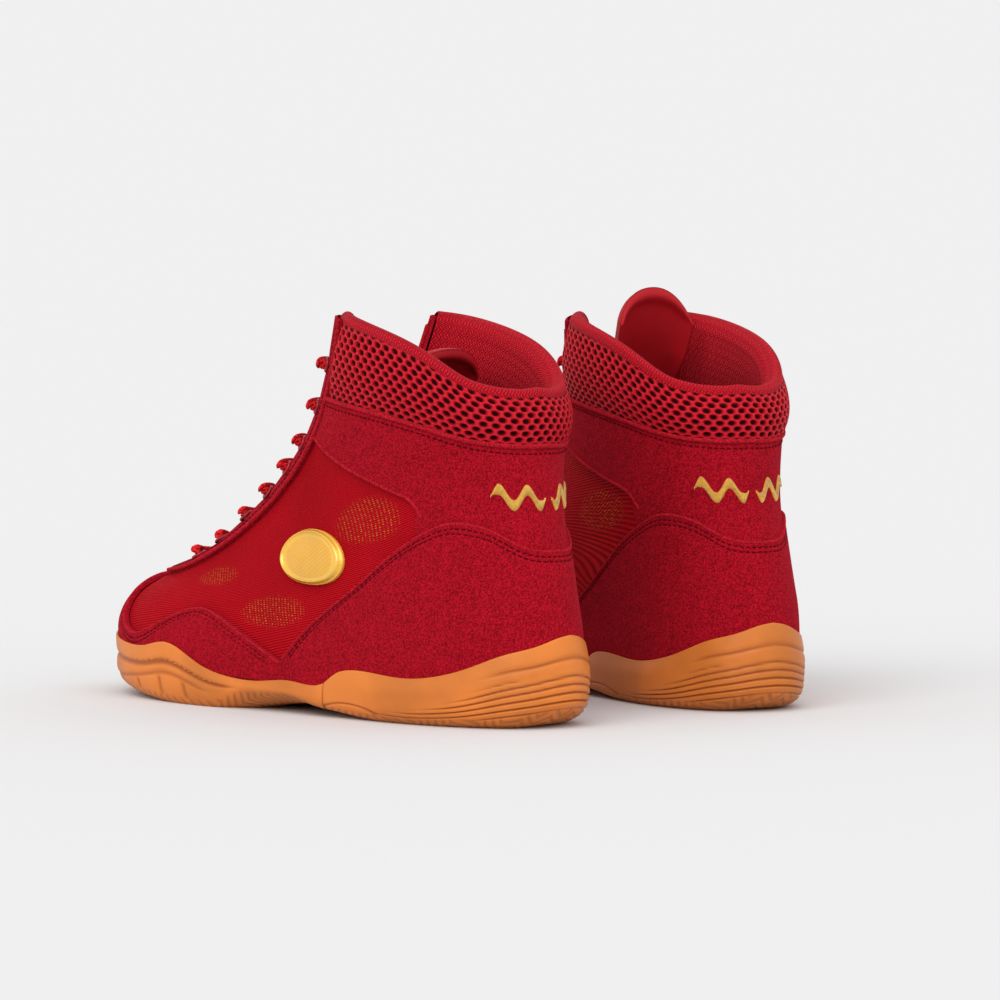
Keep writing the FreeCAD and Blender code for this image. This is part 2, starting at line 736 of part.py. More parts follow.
    def insole_board(self):
        thick = self.size.board_thick
        return self.slab(lambda x, rim: rim - BOARD_DROP, lambda x, rim: rim - BOARD_DROP - thick, 0.9)

    def insole(self):
        thick = self.size.insole_thick
        return self.slab(lambda x, rim: rim + thick, lambda x, rim: rim, -self.size.lining_depth - 1.6)


# ---------------------------------------------------------------- document

class Size:
    """The driving dimensions, read back from the sheet."""

    def __init__(self, sheet):
        for alias, _, _ in DRIVING:
            setattr(self, alias, float(sheet.get(alias)))


def add_sheet(doc):
    sheet = doc.addObject("Spreadsheet::Sheet", "Sizes")
    for row, (alias, value, meaning) in enumerate(DRIVING, start=1):
        sheet.set("A%d" % row, meaning)
        sheet.set("B%d" % row, str(value))
        sheet.setAlias("B%d" % row, alias)
    doc.recompute()
    return sheet


def origin_plane(body, role):
    for feature in body.Origin.OriginFeatures:
        if feature.Role == role:
            return feature
    raise ValueError(role)


def add_sketch(body, name, role):
    sketch = body.newObject("Sketcher::SketchObject", name)
    sketch.AttachmentSupport = [(origin_plane(body, role), "")]
    sketch.MapMode = "FlatFace"
    return sketch


def add_shank(doc):
    """The arch plate: a slotted strip padded from a sketch with round ends."""
    body = doc.addObject("PartDesign::Body", "ArchPlate")
    sketch = add_sketch(body, "PlateOutline", "XY_Plane")
    size = Size(doc.Sizes)
    radius = size.shank_width / 2
    half = size.shank_length / 2 - radius
    turn = math.pi / 2
    top = sketch.addGeometry(Part.LineSegment(Vector(-half, radius, 0), Vector(half, radius, 0)))
    low = sketch.addGeometry(Part.LineSegment(Vector(half, -radius, 0), Vector(-half, -radius, 0)))
    circle = Part.Circle(Vector(half, 0, 0), Vector(0, 0, 1), radius)
    front = sketch.addGeometry(Part.ArcOfCircle(circle, -turn, turn))
    circle = Part.Circle(Vector(-half, 0, 0), Vector(0, 0, 1), radius)
    back = sketch.addGeometry(Part.ArcOfCircle(circle, turn, 3 * turn))
    for first, point_a, second, point_b in ((top, 2, front, 2), (front, 1, low, 1),
                                            (low, 2, back, 2), (back, 1, top, 1)):
        sketch.addConstraint(Sketcher.Constraint("Tangent", first, point_a, second, point_b))
    sketch.addConstraint(Sketcher.Constraint("Symmetric", front, 3, back, 3, -1, 1))
    sketch.addConstraint(Sketcher.Constraint("Horizontal", top))
    width = sketch.addConstraint(Sketcher.Constraint("Radius", front, radius))
    length = sketch.addConstraint(Sketcher.Constraint("DistanceX", top, 1, top, 2, 2 * half))
    sketch.setExpression("Constraints[%d]" % width, "Sizes.shank_width / 2")
    sketch.setExpression("Constraints[%d]" % length, "Sizes.shank_length - Sizes.shank_width")
    pad = body.newObject("PartDesign::Pad", "Plate")
    pad.Profile = sketch
    pad.setExpression("Length", "Sizes.shank_thick")
    return body


def add_eyelet(doc):
    """One eyelet: a flanged barrel turned about its own axis."""
    body = doc.addObject("PartDesign::Body", "Eyelet")
    sketch = add_sketch(body, "EyeletSection", "XZ_Plane")
    size = Size(doc.Sizes)
    bore, barrel, flange = size.eyelet_bore, size.eyelet_outer, size.eyelet_flange
    height = size.eyelet_height
    lip = height - 0.55
    corners = ((bore, 0), (barrel, 0), (barrel, lip), (flange, lip), (flange, height), (bore, height))
    for i, (x, z) in enumerate(corners):
        next_x, next_z = corners[(i + 1) % len(corners)]
        sketch.addGeometry(Part.LineSegment(Vector(x, z, 0), Vector(next_x, next_z, 0)))
    turn = body.newObject("PartDesign::Revolution", "EyeletTurn")
    turn.Profile = sketch
    turn.ReferenceAxis = (sketch, ["V_Axis"])
    turn.Angle = 360
    return body


def main():
    doc = FreeCAD.newDocument("BoxingBoots")
    sheet = add_sheet(doc)
    size = Size(sheet)
    boot = Boot(size)
    parts = []

    stance = Placement(Vector(size.stance_back, size.heel_spacing / 2, 0),
                       Rotation(Vector(0, 0, 1), size.toe_out))

    def add_pair(name, source, place=None):
        """Names a left piece, gives it its place and adds the mirrored right one."""
        source.Label = "left_" + name
        source.Placement = stance.multiply(place or Placement())
        parts.append(source)
        return source

    def feature(name, shape):
        piece = doc.addObject("Part::Feature", "left_" + name)
        piece.Shape = shape
        return add_pair(name, piece)

    def mirrored(source):
        name = source.Label.replace("left_", "right_")
        twin = doc.addObject("Part::Mirroring", name)
        twin.Source = source
        twin.Normal = Vector(0, 1, 0)
        twin.Base = Vector(0, 0, 0)
        twin.Label = name
        return twin

    shank = add_shank(doc)
    eyelet = add_eyelet(doc)
    doc.recompute()

    plate = Placement(Vector(size.shank_start + size.shank_length / 2, SHANK_OFFSET, size.shank_level),
                      Rotation())
    pocket = Part.makeBox(size.shank_length + 2 * POCKET_GAP, size.shank_width + 2 * POCKET_GAP,
                          POCKET_DEPTH, Vector(size.shank_start - POCKET_GAP,
                                               SHANK_OFFSET - size.shank_width / 2 - POCKET_GAP,
                                               size.shank_level - 0.2))
    add_pair("shank", shank, plate)

    for name, shape in boot.outsoles().items():
        feature(name, shape)
    feature("midsole", boot.midsole(pocket))
    feature("insole_board", boot.insole_board())
    feature("insole", boot.insole())
    feature("heel_counter", boot.heel_counter())
    feature("heel_stiffener", boot.heel_stiffener())
    feature("toe_guard", boot.toe_guard())
    feature("toe_puff", boot.toe_puff())
    feature("mesh_lateral", boot.mesh_panel(1))
    feature("mesh_medial", boot.mesh_panel(-1))
    feature("vamp_mesh", boot.vamp_mesh())
    feature("ankle_band", boot.ankle_band())
    feature("quarter_lining", boot.quarter_lining())
    feature("vamp_lining", boot.vamp_lining())
    feature("eyestay_lateral", boot.eyestay(1))
    feature("eyestay_medial", boot.eyestay(-1))
    feature("collar_mesh", boot.collar_mesh())
    feature("collar_foam", boot.collar_foam())
    feature("collar_lining", boot.collar_lining())
    feature("tongue_lower", boot.tongue_lower())
    feature("side_emblem", boot.emblem())
    feature("heel_motif", boot.heel_motif())
    feature("lace", boot.lace())

    rings = []
    for side in (1, -1):
        for point, normal in boot.eyelet_seats(side):
            ring = eyelet.Shape.copy()
            ring.Placement = Placement(point - normal * 0.05, Rotation(Vector(0, 0, 1), normal))
            rings.append(ring)
    feature("eyelets", Part.Compound(rings))

    tip = doc.addObject("Part::Cylinder", "LaceTip")
    tip.setExpression("Radius", "Sizes.lace_radius + 0.15")
    tip.setExpression("Height", "Sizes.aglet_length")
    start, direction = boot.aglet_axis()
    add_pair("aglet", tip, Placement(start, Rotation(Vector(0, 0, 1), direction)))

    doc.recompute()
    twins = [mirrored(source) for source in list(parts)]

    feature("tongue_top", boot.tongue_top(size.left_tongue_lean))
    upright = doc.addObject("Part::Feature", "UprightTongue")
    upright.Shape = boot.tongue_top(size.right_tongue_lean)
    upright.Placement = stance
    upright.Label = "left_tongue_top_upright"
    twin = mirrored(upright)
    twin.Label = "right_tongue_top"
    twins.append(twin)
    parts.extend(twins)
    doc.recompute()

    for item in doc.Objects:
        if "Invalid" in item.State or "Error" in item.State:
            raise RuntimeError("failed object: " + item.Label)
    for part in parts:
        if part.Shape.isNull() or not part.Shape.isValid():
            raise RuntimeError("bad shape: " + part.Label)

    os.makedirs("parts", exist_ok=True)
    for part in parts:
        part.Shape.exportStep("parts/%s.step" % part.Label)
    print("nodes:", len(parts))
    print("lace length (mm): %.0f" % boot.lace_length)
    whole = Part.Compound([part.Shape for part in parts]).BoundBox
    print("box (mm): x %.1f to %.1f, y %.1f to %.1f, z %.1f to %.1f"
          % (whole.XMin, whole.XMax, whole.YMin, whole.YMax, whole.ZMin, whole.ZMax))


main()
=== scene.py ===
import math

import bpy
import numpy as np
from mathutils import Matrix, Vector
from bpy.props import FloatProperty, FloatVectorProperty, PointerProperty
from bpy.types import Operator, Panel, PropertyGroup


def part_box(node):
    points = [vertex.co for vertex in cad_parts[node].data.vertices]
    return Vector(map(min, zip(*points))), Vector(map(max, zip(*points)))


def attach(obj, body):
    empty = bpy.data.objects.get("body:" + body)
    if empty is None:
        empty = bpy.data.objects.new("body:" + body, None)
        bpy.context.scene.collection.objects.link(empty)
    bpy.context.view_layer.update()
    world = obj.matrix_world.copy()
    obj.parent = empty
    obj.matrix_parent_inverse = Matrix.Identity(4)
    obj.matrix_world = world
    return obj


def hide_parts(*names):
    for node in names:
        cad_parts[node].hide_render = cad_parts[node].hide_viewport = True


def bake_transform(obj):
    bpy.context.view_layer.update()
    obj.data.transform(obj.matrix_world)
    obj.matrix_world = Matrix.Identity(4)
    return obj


bl_info = {
    "name": "Boxing Boots",
    "version": (1, 0, 0),
    "blender": (4, 5, 0),
    "location": "View3D > Sidebar > Boots",
    "description": "Builds the cloth, suede, rubber and trim of a pair of boxing boots around their frame",
    "category": "Object",
}

# Lengths are millimetres in the boot frame (x heel to toe, y to the boot's outer side, z up)
# until a piece is placed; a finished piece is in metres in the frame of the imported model.

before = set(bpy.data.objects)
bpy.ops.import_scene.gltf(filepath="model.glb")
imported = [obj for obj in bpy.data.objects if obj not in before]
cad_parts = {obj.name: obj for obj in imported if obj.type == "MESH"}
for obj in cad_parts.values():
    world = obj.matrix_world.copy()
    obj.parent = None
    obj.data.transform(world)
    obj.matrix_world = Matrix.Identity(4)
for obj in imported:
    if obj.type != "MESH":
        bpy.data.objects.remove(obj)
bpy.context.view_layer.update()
SIDES = {"left_": 1.0, "right_": -1.0}

# ---------------------------------------------------------------- the boot's form

FORM_LENGTH = 303.0
SOLE_LENGTH = 292.0
SCALE = SOLE_LENGTH / FORM_LENGTH
HEEL_SPACING = 117.2
TOE_OUT = 8.75
STANCE_BACK = -137.6

LEVELS = (0.00, 0.10, 0.20, 0.32, 0.45, 0.60, 0.75, 0.88, 1.00)
# Back x, back z, front x, front z and bow of the loop at each level.
LOOPS = (
    (-3, 16, 288, 22, -7),
    (-4, 30, 292, 36, -7),
    (-3, 44, 282, 50, -5),
    (0, 58, 255, 62, -2),
    (4, 76, 220, 79, 0),
    (9, 96, 183, 103, 0),
    (12, 116, 152, 131, 1),
    (14, 134, 136, 157, 2),
    (15, 150, 128, 181, 3),
)
WIDTH_ANGLES = (0, 45, 90, 135, 180)
OUTER_WIDTHS = (
    (54, 47, 41, 58, 62),
    (56, 49, 42, 57, 62),
    (56, 49, 41, 51, 56),
    (52, 47, 39, 42, 46),
    (47, 44, 37, 37, 40),
    (44, 42, 37, 37, 40),
    (44, 43, 40, 42, 48),
    (46, 45, 43, 47, 60),
    (46, 46, 44, 50, 66),
)
INNER_WIDTHS = (
    (54, 43, 31, 54, 60),
    (56, 45, 33, 55, 60),
    (56, 45, 34, 50, 54),
    (52, 44, 35, 42, 46),
    (47, 42, 36, 38, 40),
    (44, 42, 38, 38, 40),
    (44, 43, 41, 44, 48),
    (46, 46, 45, 50, 60),
    (46, 47, 46, 54, 68),
)
TOE_SWING = 7.0
SHAFT_SWING = 5.0
RIM_DIP = 8.0
RIM_DIP_ANGLE = 38.0
RIM_DIP_SPREAD = 28.0
THROAT_ANGLE = 146.0
THROAT_FLATNESS = 0.2

# Style lines: the level of an edge at each angle from the back seam.
COUNTER_TOP = ((0, 8, 21, 32, 42, 51, 59, 68, 80, 90),
               (0.475, 0.475, 0.495, 0.54, 0.56, 0.555, 0.515, 0.435, 0.24, 0.06))
BAND_EDGE = ((60, 65, 72, 85, 102, 124, 150), (0.56, 0.605, 0.63, 0.655, 0.685, 0.725, 0.765))
GUARD_TOP = ((86, 94, 102, 110, 116, 123, 135, 150, 162, 180),
             (0.07, 0.125, 0.17, 0.205, 0.21, 0.165, 0.10, 0.16, 0.235, 0.27))
SOLE_TOP = ((0, 6, 16, 28, 38, 47, 56, 64, 70, 74, 77, 86, 94, 102, 109, 115, 121, 127, 137, 160, 180),
            (0.178, 0.171, 0.147, 0.124, 0.090, 0.066, 0.060, 0.073, 0.077, 0.06, 0.03, 0.025, 0.012, 0.012,
             0.035, 0.075, 0.09, 0.07, 0.055, 0.06, 0.07))
THROAT_EDGE = ((0.30, 0.34, 0.45, 0.60, 0.80, 1.00), (166, 163, 155, 152, 150, 149))
TREAD_LINE = ((0, 0.05, 0.10, 0.30, 0.37, 0.45, 0.52, 0.58, 0.76, 0.84, 0.92, 1.0),
              (7.5, 1.4, 0, 0, 3.0, 4.6, 3.0, 0, 0, 2.5, 6.5, 13))
COLLAR_SEAM = 0.835
ABOVE_RIM = 150.0         # length of one level above the rim
LOWEST = 0.012
EYELET_LEVELS = (0.37, 0.43, 0.51, 0.585, 0.655, 0.72, 0.81, 0.91)
EYELET_INSET = 6.5
UNITS_MEET = 105.8        # the heel outsole ends and the front one starts

# The throat panel's edges as (level, angle), from the collar down to the middle of the vamp.
THROAT_INSIDE = ((1.035, 148.6), (0.90, 149.5), (0.80, 150.0), (0.60, 152.0), (0.45, 155.0),
                 (0.38, 159.5), (0.345, 167.0), (0.335, 180.0))
THROAT_OUTSIDE = ((1.030, 131.5), (0.90, 132.5), (0.80, 133.0), (0.60, 135.0), (0.45, 138.5),
                  (0.375, 143.0), (0.315, 153.0), (0.285, 180.0))

# Cloth ahead of this x goes in the front piece, meant for the toe joint, and cloth behind it in the rear
# piece, meant for the ankle joint.
CLOTH_SPLIT = 178.0


def natural_spline(keys, values, at):
    """A natural cubic spline: each piece is the straight blend of its two values plus a cubic
    that gives equal slopes and curvatures where pieces meet, with no curvature at the ends."""
    keys = np.asarray(keys, float)
    values = np.asarray(values, float)
    count = len(keys)
    steps = np.diff(keys)
    system = np.eye(count)
    bends = np.zeros((count,) + values.shape[1:])
    for i in range(1, count - 1):
        system[i, i - 1:i + 2] = steps[i - 1], 2 * (steps[i - 1] + steps[i]), steps[i]
        bends[i] = 6 * ((values[i + 1] - values[i]) / steps[i] - (values[i] - values[i - 1]) / steps[i - 1])
    bends = np.linalg.solve(system, bends.reshape(count, -1)).reshape(bends.shape)
    at = np.clip(np.asarray(at, float), keys[0], keys[-1])
    place = np.clip(np.searchsorted(keys, at, side="right") - 1, 0, count - 2)
    spread = at.shape + (1,) * (values.ndim - 1)
    after = ((at - keys[place]) / steps[place]).reshape(spread)
    before = 1 - after
    step = steps[place].reshape(spread)
    curve = ((before ** 3 - before) * bends[place] + (after ** 3 - after) * bends[place + 1]) * step ** 2 / 6
    return before * values[place] + after * values[place + 1] + curve


def ramp(value, low, high):
    """0 below low, 1 above high, smooth between them."""
    share = np.clip((np.asarray(value, float) - low) / (high - low), 0, 1)
    return share * share * (3 - 2 * share)


def mix(a, b, share):
    return a + (b - a) * share


def turn_of(angle):
    """The angle from the back seam, 0 to 180, on either side."""
    return np.abs((np.asarray(angle, float) + 180) % 360 - 180)


def form_point(level, angle):
    """The form: a loop leans from its back point to its front point with the cosine of the
    angle, and stands out by its half width times the sine. Beyond the throat angle the
    loop is pulled flat. The rim dips behind the ankle, and toe and shaft swing inwards."""
    level, angle = np.broadcast_arrays(np.asarray(level, float), np.asarray(angle, float))
    wrapped = (angle + 180) % 360 - 180
    side = np.where(wrapped >= 0, 1.0, -1.0)
    turn = np.abs(wrapped)
    loop = natural_spline(LEVELS, LOOPS, level)
    back_x, back_z, front_x, front_z, bow = (loop[..., i] for i in range(5))
    outer = natural_spline(LEVELS, OUTER_WIDTHS, level)
    inner = natural_spline(LEVELS, INNER_WIDTHS, level)
    widths = np.where(side[..., None] > 0, outer, inner)
    width = (natural_spline(WIDTH_ANGLES, np.eye(5), turn) * widths).sum(-1)
    along = (1 - np.cos(np.radians(turn))) / 2
    edge = (1 - math.cos(math.radians(THROAT_ANGLE))) / 2
    flat = edge + (along - edge) * THROAT_FLATNESS
    along = np.where(turn > THROAT_ANGLE, along + (flat - along) * ramp(level, 0.30, 0.44), along)
    x = back_x + along * (front_x - back_x)
    z = back_z + along * (front_z - back_z) + bow * 4 * along * (1 - along)
    past = turn - RIM_DIP_ANGLE
    dip = np.exp(-((np.where(past < 0, 0.45 * past, past)) / RIM_DIP_SPREAD) ** 2)
    z = z - RIM_DIP * dip * np.clip((level - 0.72) / 0.28, 0, 1)
    y = side * np.sin(np.radians(turn)) * width
    y = y - TOE_SWING * (x / 275) ** 2 * (1 - np.clip((z - 60) / 80, 0, 1))
    y = y - SHAFT_SWING * np.clip((z - 50) / 130, 0, 1)
    return np.stack([x, y, z], -1) * SCALE


def unit(vectors):
    return vectors / np.maximum(np.linalg.norm(vectors, axis=-1, keepdims=True), 1e-9)


def form_frame(level, angle):
    """The form's point, outward normal and upward direction, from central differences."""
    level = np.asarray(level, float)
    angle = np.asarray(angle, float)
    rise = form_point(np.minimum(level + 0.004, 1), angle) - form_point(np.maximum(level - 0.004, 0), angle)
    run = form_point(level, angle + 0.8) - form_point(level, angle - 0.8)
    return form_point(level, angle), unit(np.cross(rise, run)), unit(rise)


def offset(level, angle, lift):
    """The point that stands so far outside the form; above the rim the wall goes straight on."""
    point, normal, up = form_frame(np.minimum(level, 1.0), angle)
    above = np.maximum(level - 1.0, 0) * ABOVE_RIM
    return point + normal * np.asarray(lift, float)[..., None] + up * np.asarray(above)[..., None]


def rim_place(angle, out, rise):
    """A point beside the rim: so far out along the normal, and so far up, or down the wall."""
    angle, out, rise = np.broadcast_arrays(*(np.asarray(v, float) for v in (angle, out, rise)))
    wall = np.linalg.norm(form_point(1.0, angle) - form_point(0.75, angle), axis=-1) / 0.25
    point, normal, up = form_frame(1.0 + np.minimum(rise, 0) / wall, angle)
    return point + normal * out[..., None] + up * np.maximum(rise, 0)[..., None]


def cloth_lengths():
    """Tables of the length along each loop from 90 degrees, and up the form from the sole."""
    levels = np.linspace(0, 1, 61)
    angles = np.linspace(0, 360, 241)
    points = form_point(levels[:, None], angles[None, :])
    along = np.linalg.norm(np.diff(points, axis=1), axis=-1)
    along = np.concatenate([np.zeros((61, 1)), np.cumsum(along, axis=1)], axis=1)
    along = along - along[:, 60:61]
    up = np.linalg.norm(np.diff(points, axis=0), axis=-1)
    up = np.concatenate([np.zeros((1, 241)), np.cumsum(up, axis=0)], axis=0)
    return np.stack([along, up], -1)


CLOTH_LENGTHS = cloth_lengths()


def cloth_uv(level, angle):
    """Where a point of the form lies on the flat cloth, in millimetres: the table read
    between its entries."""
    level, angle = np.broadcast_arrays(np.asarray(level, float), np.asarray(angle, float))
    row = np.clip(level * 60, 0, 59.999)
    column = np.clip((angle % 360) / 1.5, 0, 239.999)
    i = row.astype(int)
    j = column.astype(int)
    a = (row - i)[..., None]
    b = (column - j)[..., None]
    near = mix(CLOTH_LENGTHS[i, j], CLOTH_LENGTHS[i, j + 1], b)
    far = mix(CLOTH_LENGTHS[i + 1, j], CLOTH_LENGTHS[i + 1, j + 1], b)
    return mix(near, far, a)


def stand(points, side):
    """From the boot frame in millimetres to the model's frame in metres: turned out by the
    toe angle, moved to its heel, and mirrored for the right boot."""
    points = np.asarray(points, float)
    c = math.cos(math.radians(TOE_OUT))
    s = math.sin(math.radians(TOE_OUT))
    x = points[..., 0] * c - points[..., 1] * s + STANCE_BACK
    y = points[..., 0] * s + points[..., 1] * c + HEEL_SPACING / 2
    return np.stack([x, side * y, points[..., 2]], -1) * 0.001


def check_stance():
    """The form stands where the frame's heel counter does, or the script stops."""
    low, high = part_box("left_heel_counter")
    level = np.linspace(LOWEST, 0.5, 30)[:, None]
    points = stand(offset(level, np.linspace(-89, 89, 90)[None, :], 1.5 + 0 * level), 1.0).reshape(-1, 3)
    gap = max(abs(points[:, 0].min() - low[0]), abs(points[:, 1].max() - high[1]))
    if gap > 0.002:
        raise RuntimeError("the form and the frame's heel counter are %.1f mm apart" % (gap * 1000))


# ---------------------------------------------------------------- meshes from grids

def grid_faces(rows, columns, wrap=False):
    """Quads of a grid whose normals are the row direction crossed with the column one."""
    i = np.arange(rows - 1)[:, None]
    j = np.arange(columns if wrap else columns - 1)[None, :]
    k = (j + 1) % columns
    quads = np.stack([i * columns + j, (i + 1) * columns + j, (i + 1) * columns + k, i * columns + k], -1)
    return quads.reshape(-1, 4)


class Sheet:
    """Vertices, quads, a flat map in millimetres and named values, in the boot frame."""

    def __init__(self, points, faces=None, uv=None, marks=None, flip=False, wrap=False):
        points = np.asarray(points, float)
        if faces is None:
            faces = grid_faces(points.shape[0], points.shape[1], wrap)
        if uv is None:
            uv = lengths_uv(points)
        count = int(np.prod(points.shape[:-1]))
        self.points = points.reshape(-1, 3)
        self.faces = faces[:, ::-1] if flip else faces
        self.uv = np.asarray(uv, float).reshape(-1, 2)
        self.marks = {name: np.broadcast_to(value, points.shape[:-1]).reshape(count)
                      for name, value in (marks or {}).items()}

    def part(self, chosen):
        """The chosen faces with the vertices that they use."""
        faces = self.faces[chosen]
        used, faces = np.unique(faces, return_inverse=True)
        piece = Sheet.__new__(Sheet)
        piece.points = self.points[used]
        piece.faces = faces.reshape(-1, 4)
        piece.uv = self.uv[used]
        piece.marks = {name: value[used] for name, value in self.marks.items()}
        return piece


def lengths_uv(grid):
    """A flat map of a grid: lengths along its columns and up its rows from its middle."""
    if grid.ndim != 3:
        return grid[..., :2]
    along = np.linalg.norm(np.diff(grid, axis=1), axis=-1)
    along = np.concatenate([np.zeros((grid.shape[0], 1)), np.cumsum(along, 1)], 1)
    up = np.linalg.norm(np.diff(grid, axis=0), axis=-1)
    up = np.concatenate([np.zeros((1, grid.shape[1])), np.cumsum(up, 0)], 0)
    middle_row = grid.shape[0] // 2
    middle_column = grid.shape[1] // 2
    along = along - along[:, middle_column:middle_column + 1]
    up = up - up[middle_row:middle_row + 1, :]
    return np.stack([along, up], -1)


def joined(sheets):
    """Several sheets as one."""
    whole = Sheet.__new__(Sheet)
    starts = np.cumsum([0] + [len(s.points) for s in sheets])
    whole.points = np.concatenate([s.points for s in sheets])
    whole.faces = np.concatenate([s.faces + start for s, start in zip(sheets, starts)])
    whole.uv = np.concatenate([s.uv for s in sheets])
    names = set().union(*(s.marks for s in sheets))
    whole.marks = {name: np.concatenate([s.marks.get(name, np.zeros(len(s.points))) for s in sheets])
                   for name in names}
    return whole


def make_object(name, side, sheet, material):
    """A mesh object at the origin from a sheet, mirrored for the right boot."""
    faces = sheet.faces if side > 0 else sheet.faces[:, ::-1]
    faces = np.ascontiguousarray(faces)
    mesh = bpy.data.meshes.new(name)
    mesh.from_pydata(stand(sheet.points, side).tolist(), [], faces.tolist())
    layer = mesh.uv_layers.new(name="Cloth")
    corners = np.zeros(len(mesh.loops), np.int32)
    mesh.loops.foreach_get("vertex_index", corners)
    layer.data.foreach_set("uv", sheet.uv[corners].astype(np.float32).ravel())
    for mark, values in sheet.marks.items():
        attribute = mesh.attributes.new(mark, "FLOAT", "POINT")
        attribute.data.foreach_set("value", values.astype(np.float32))
    mesh.validate()
    mesh.shade_smooth()
    mesh.materials.append(material)
    piece = bpy.data.objects.new(name, mesh)
    bpy.context.scene.collection.objects.link(piece)
    return piece


def follow(piece, prefix, way):
    """Rides the piece on a body; for the ankle or the toe joint it only bakes the piece's placement into its
    mesh.
    """
    if way in ("ankle", "toe"):
        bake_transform(piece)
    else:
        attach(piece, prefix + way)


def add_pieces(name, sheet, material, way, replaces=(), also=()):
    """Makes the left piece and its mirrored twin. The way "both" splits the cloth in two, a
    rear piece at the ankle joint and a front piece at the toe joint. Frame nodes named in
    replaces go with the only or rear piece, and those in also with the front one."""
    made = []
    for prefix, side in SIDES.items():
        if way == "both":
            ahead = sheet.points[sheet.faces][..., 0].mean(1) > CLOTH_SPLIT
            parts = (("_rear", ~ahead, "ankle", replaces), ("_front", ahead, "toe", also))
            for suffix, chosen, joint, nodes in parts:
                piece = make_object(prefix + name + suffix, side, sheet.part(chosen), material)
                finish_piece(piece, prefix, joint, nodes)
                made.append(piece)
        else:
            piece = make_object(prefix + name, side, sheet, material)
            finish_piece(piece, prefix, way, replaces)
            made.append(piece)
    return made


def finish_piece(piece, prefix, way, nodes):
    follow(piece, prefix, way)
    if nodes:
        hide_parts(*(prefix + node for node in nodes))


def edge_steps(length, radius, fine, step, tuck):
    """Distances from one edge to the other: fine ones over the rounded edge and the stitched
    margin, even ones between. Two rows share each edge when the edge tucks under."""
    near = np.concatenate([[0.0] * (2 if tuck else 1), radius * np.array([0.06, 0.2, 0.45, 0.75, 1.0]),
                           np.arange(radius + 0.35, fine, 0.35)])
    count = max(int(round((np.max(length) - 2 * fine) / step)), 4)
    middle = np.linspace(0, 1, count)
    length = np.asarray(length, float)[None, ...]
    shape = (-1,) + (1,) * (length.ndim - 1)
    near = near.reshape(shape)
    squeeze = np.minimum(1.0, 0.45 * length / fine)
    low = near * squeeze
    between = fine * squeeze + (length - 2 * fine * squeeze) * middle.reshape(shape)
    return np.concatenate([low, between, length - low[::-1]], 0)


def hem(distance, radius):
    """Height of a rounded edge, 0 to 1, at a distance inside it: a quarter circle."""
    share = np.clip(distance / radius, 0, 1)
    return np.sqrt(np.maximum(1 - (1 - share) ** 2, 0))


def stitch_grooves(distance, lines, depth=0.32, width=0.45):
    """Dents along stitch lines at these distances from an edge."""
    return -depth * sum(np.exp(-((distance - line) / width) ** 2) for line in lines)


def panel(low, high, first, last, lift, thick, stitched_top=(), step=2.2, radius=1.0, ends=True):
    """A sewn panel on the form between two edges, given as functions of the angle: its face
    stands out by lift plus thickness, its edges round over and tuck in, and dents follow
    the stitch lines inside its top edge."""
    length = np.linalg.norm(np.diff(form_point(0.4, np.linspace(first, last, 200)), axis=0), axis=-1).sum()
    across = edge_steps(length, radius, 3.0, step, ends)
    angle = first + (last - first) * across / length
    bottom = low(angle)
    top = high(angle)
    span = np.linalg.norm(form_point(top, angle) - form_point(bottom, angle), axis=-1)
    up = edge_steps(span, radius, 6.5, step, True)
    level = bottom + (top - bottom) * up / span
    rows = up.shape[0]
    from_top = span[None, :] - up
    height = hem(np.minimum(up, from_top), radius)
    if ends:
        height = np.minimum(height, hem(np.minimum(across, length - across), radius)[None, :])
    stand_out = lift + thick * height + stitch_grooves(from_top, stitched_top) * (up > 3)
    tuck = np.zeros_like(stand_out)
    tuck[0] = tuck[-1] = 1
    if ends:
        tuck[:, 0] = tuck[:, -1] = 1
    stand_out = stand_out - tuck * 1.2
    angle = np.broadcast_to(angle, (rows, len(angle)))
    return Sheet(offset(level, angle, stand_out), uv=cloth_uv(level, angle))


def stitches(points, normals, pitch=2.9, length=2.1, radius=0.34):
    """A row of short raised stitches along a line: each is a capsule laid along the line, a
    profile of five rings of six points carried to even distances."""
    steps = np.linalg.norm(np.diff(points, axis=0), axis=-1)
    run = np.concatenate([[0], np.cumsum(steps)])
    places = np.arange(pitch / 2, run[-1], pitch)
    centre = np.stack([np.interp(places, run, points[:, i]) for i in range(3)], -1)
    ahead = np.stack([np.interp(places + 0.3, run, points[:, i]) for i in range(3)], -1)
    normal = unit(np.stack([np.interp(places, run, normals[:, i]) for i in range(3)], -1))
    along = unit(ahead - centre + 1e-6)
    across = unit(np.cross(normal, along))
    rings = np.array([-1.0, -0.82, 0.0, 0.82, 1.0])
    swell = np.array([0.02, 0.75, 1.0, 0.75, 0.02])
    turns = np.linspace(0, 2 * math.pi, 7)[:-1]
    x = rings[:, None] * length / 2 + 0 * turns
    y = swell[:, None] * np.cos(turns) * radius
    z = swell[:, None] * np.sin(turns) * radius
    shape = (x[None, ..., None] * along[:, None, None, :] + y[None, ..., None] * across[:, None, None, :]
             + z[None, ..., None] * normal[:, None, None, :] + centre[:, None, None, :])
    one = grid_faces(5, 6, wrap=True)
    starts = np.arange(len(places))[:, None, None] * 30
    faces = (one[None] + starts).reshape(-1, 4)
    return Sheet(shape.reshape(-1, 3), faces=faces, uv=shape.reshape(-1, 3)[:, :2])


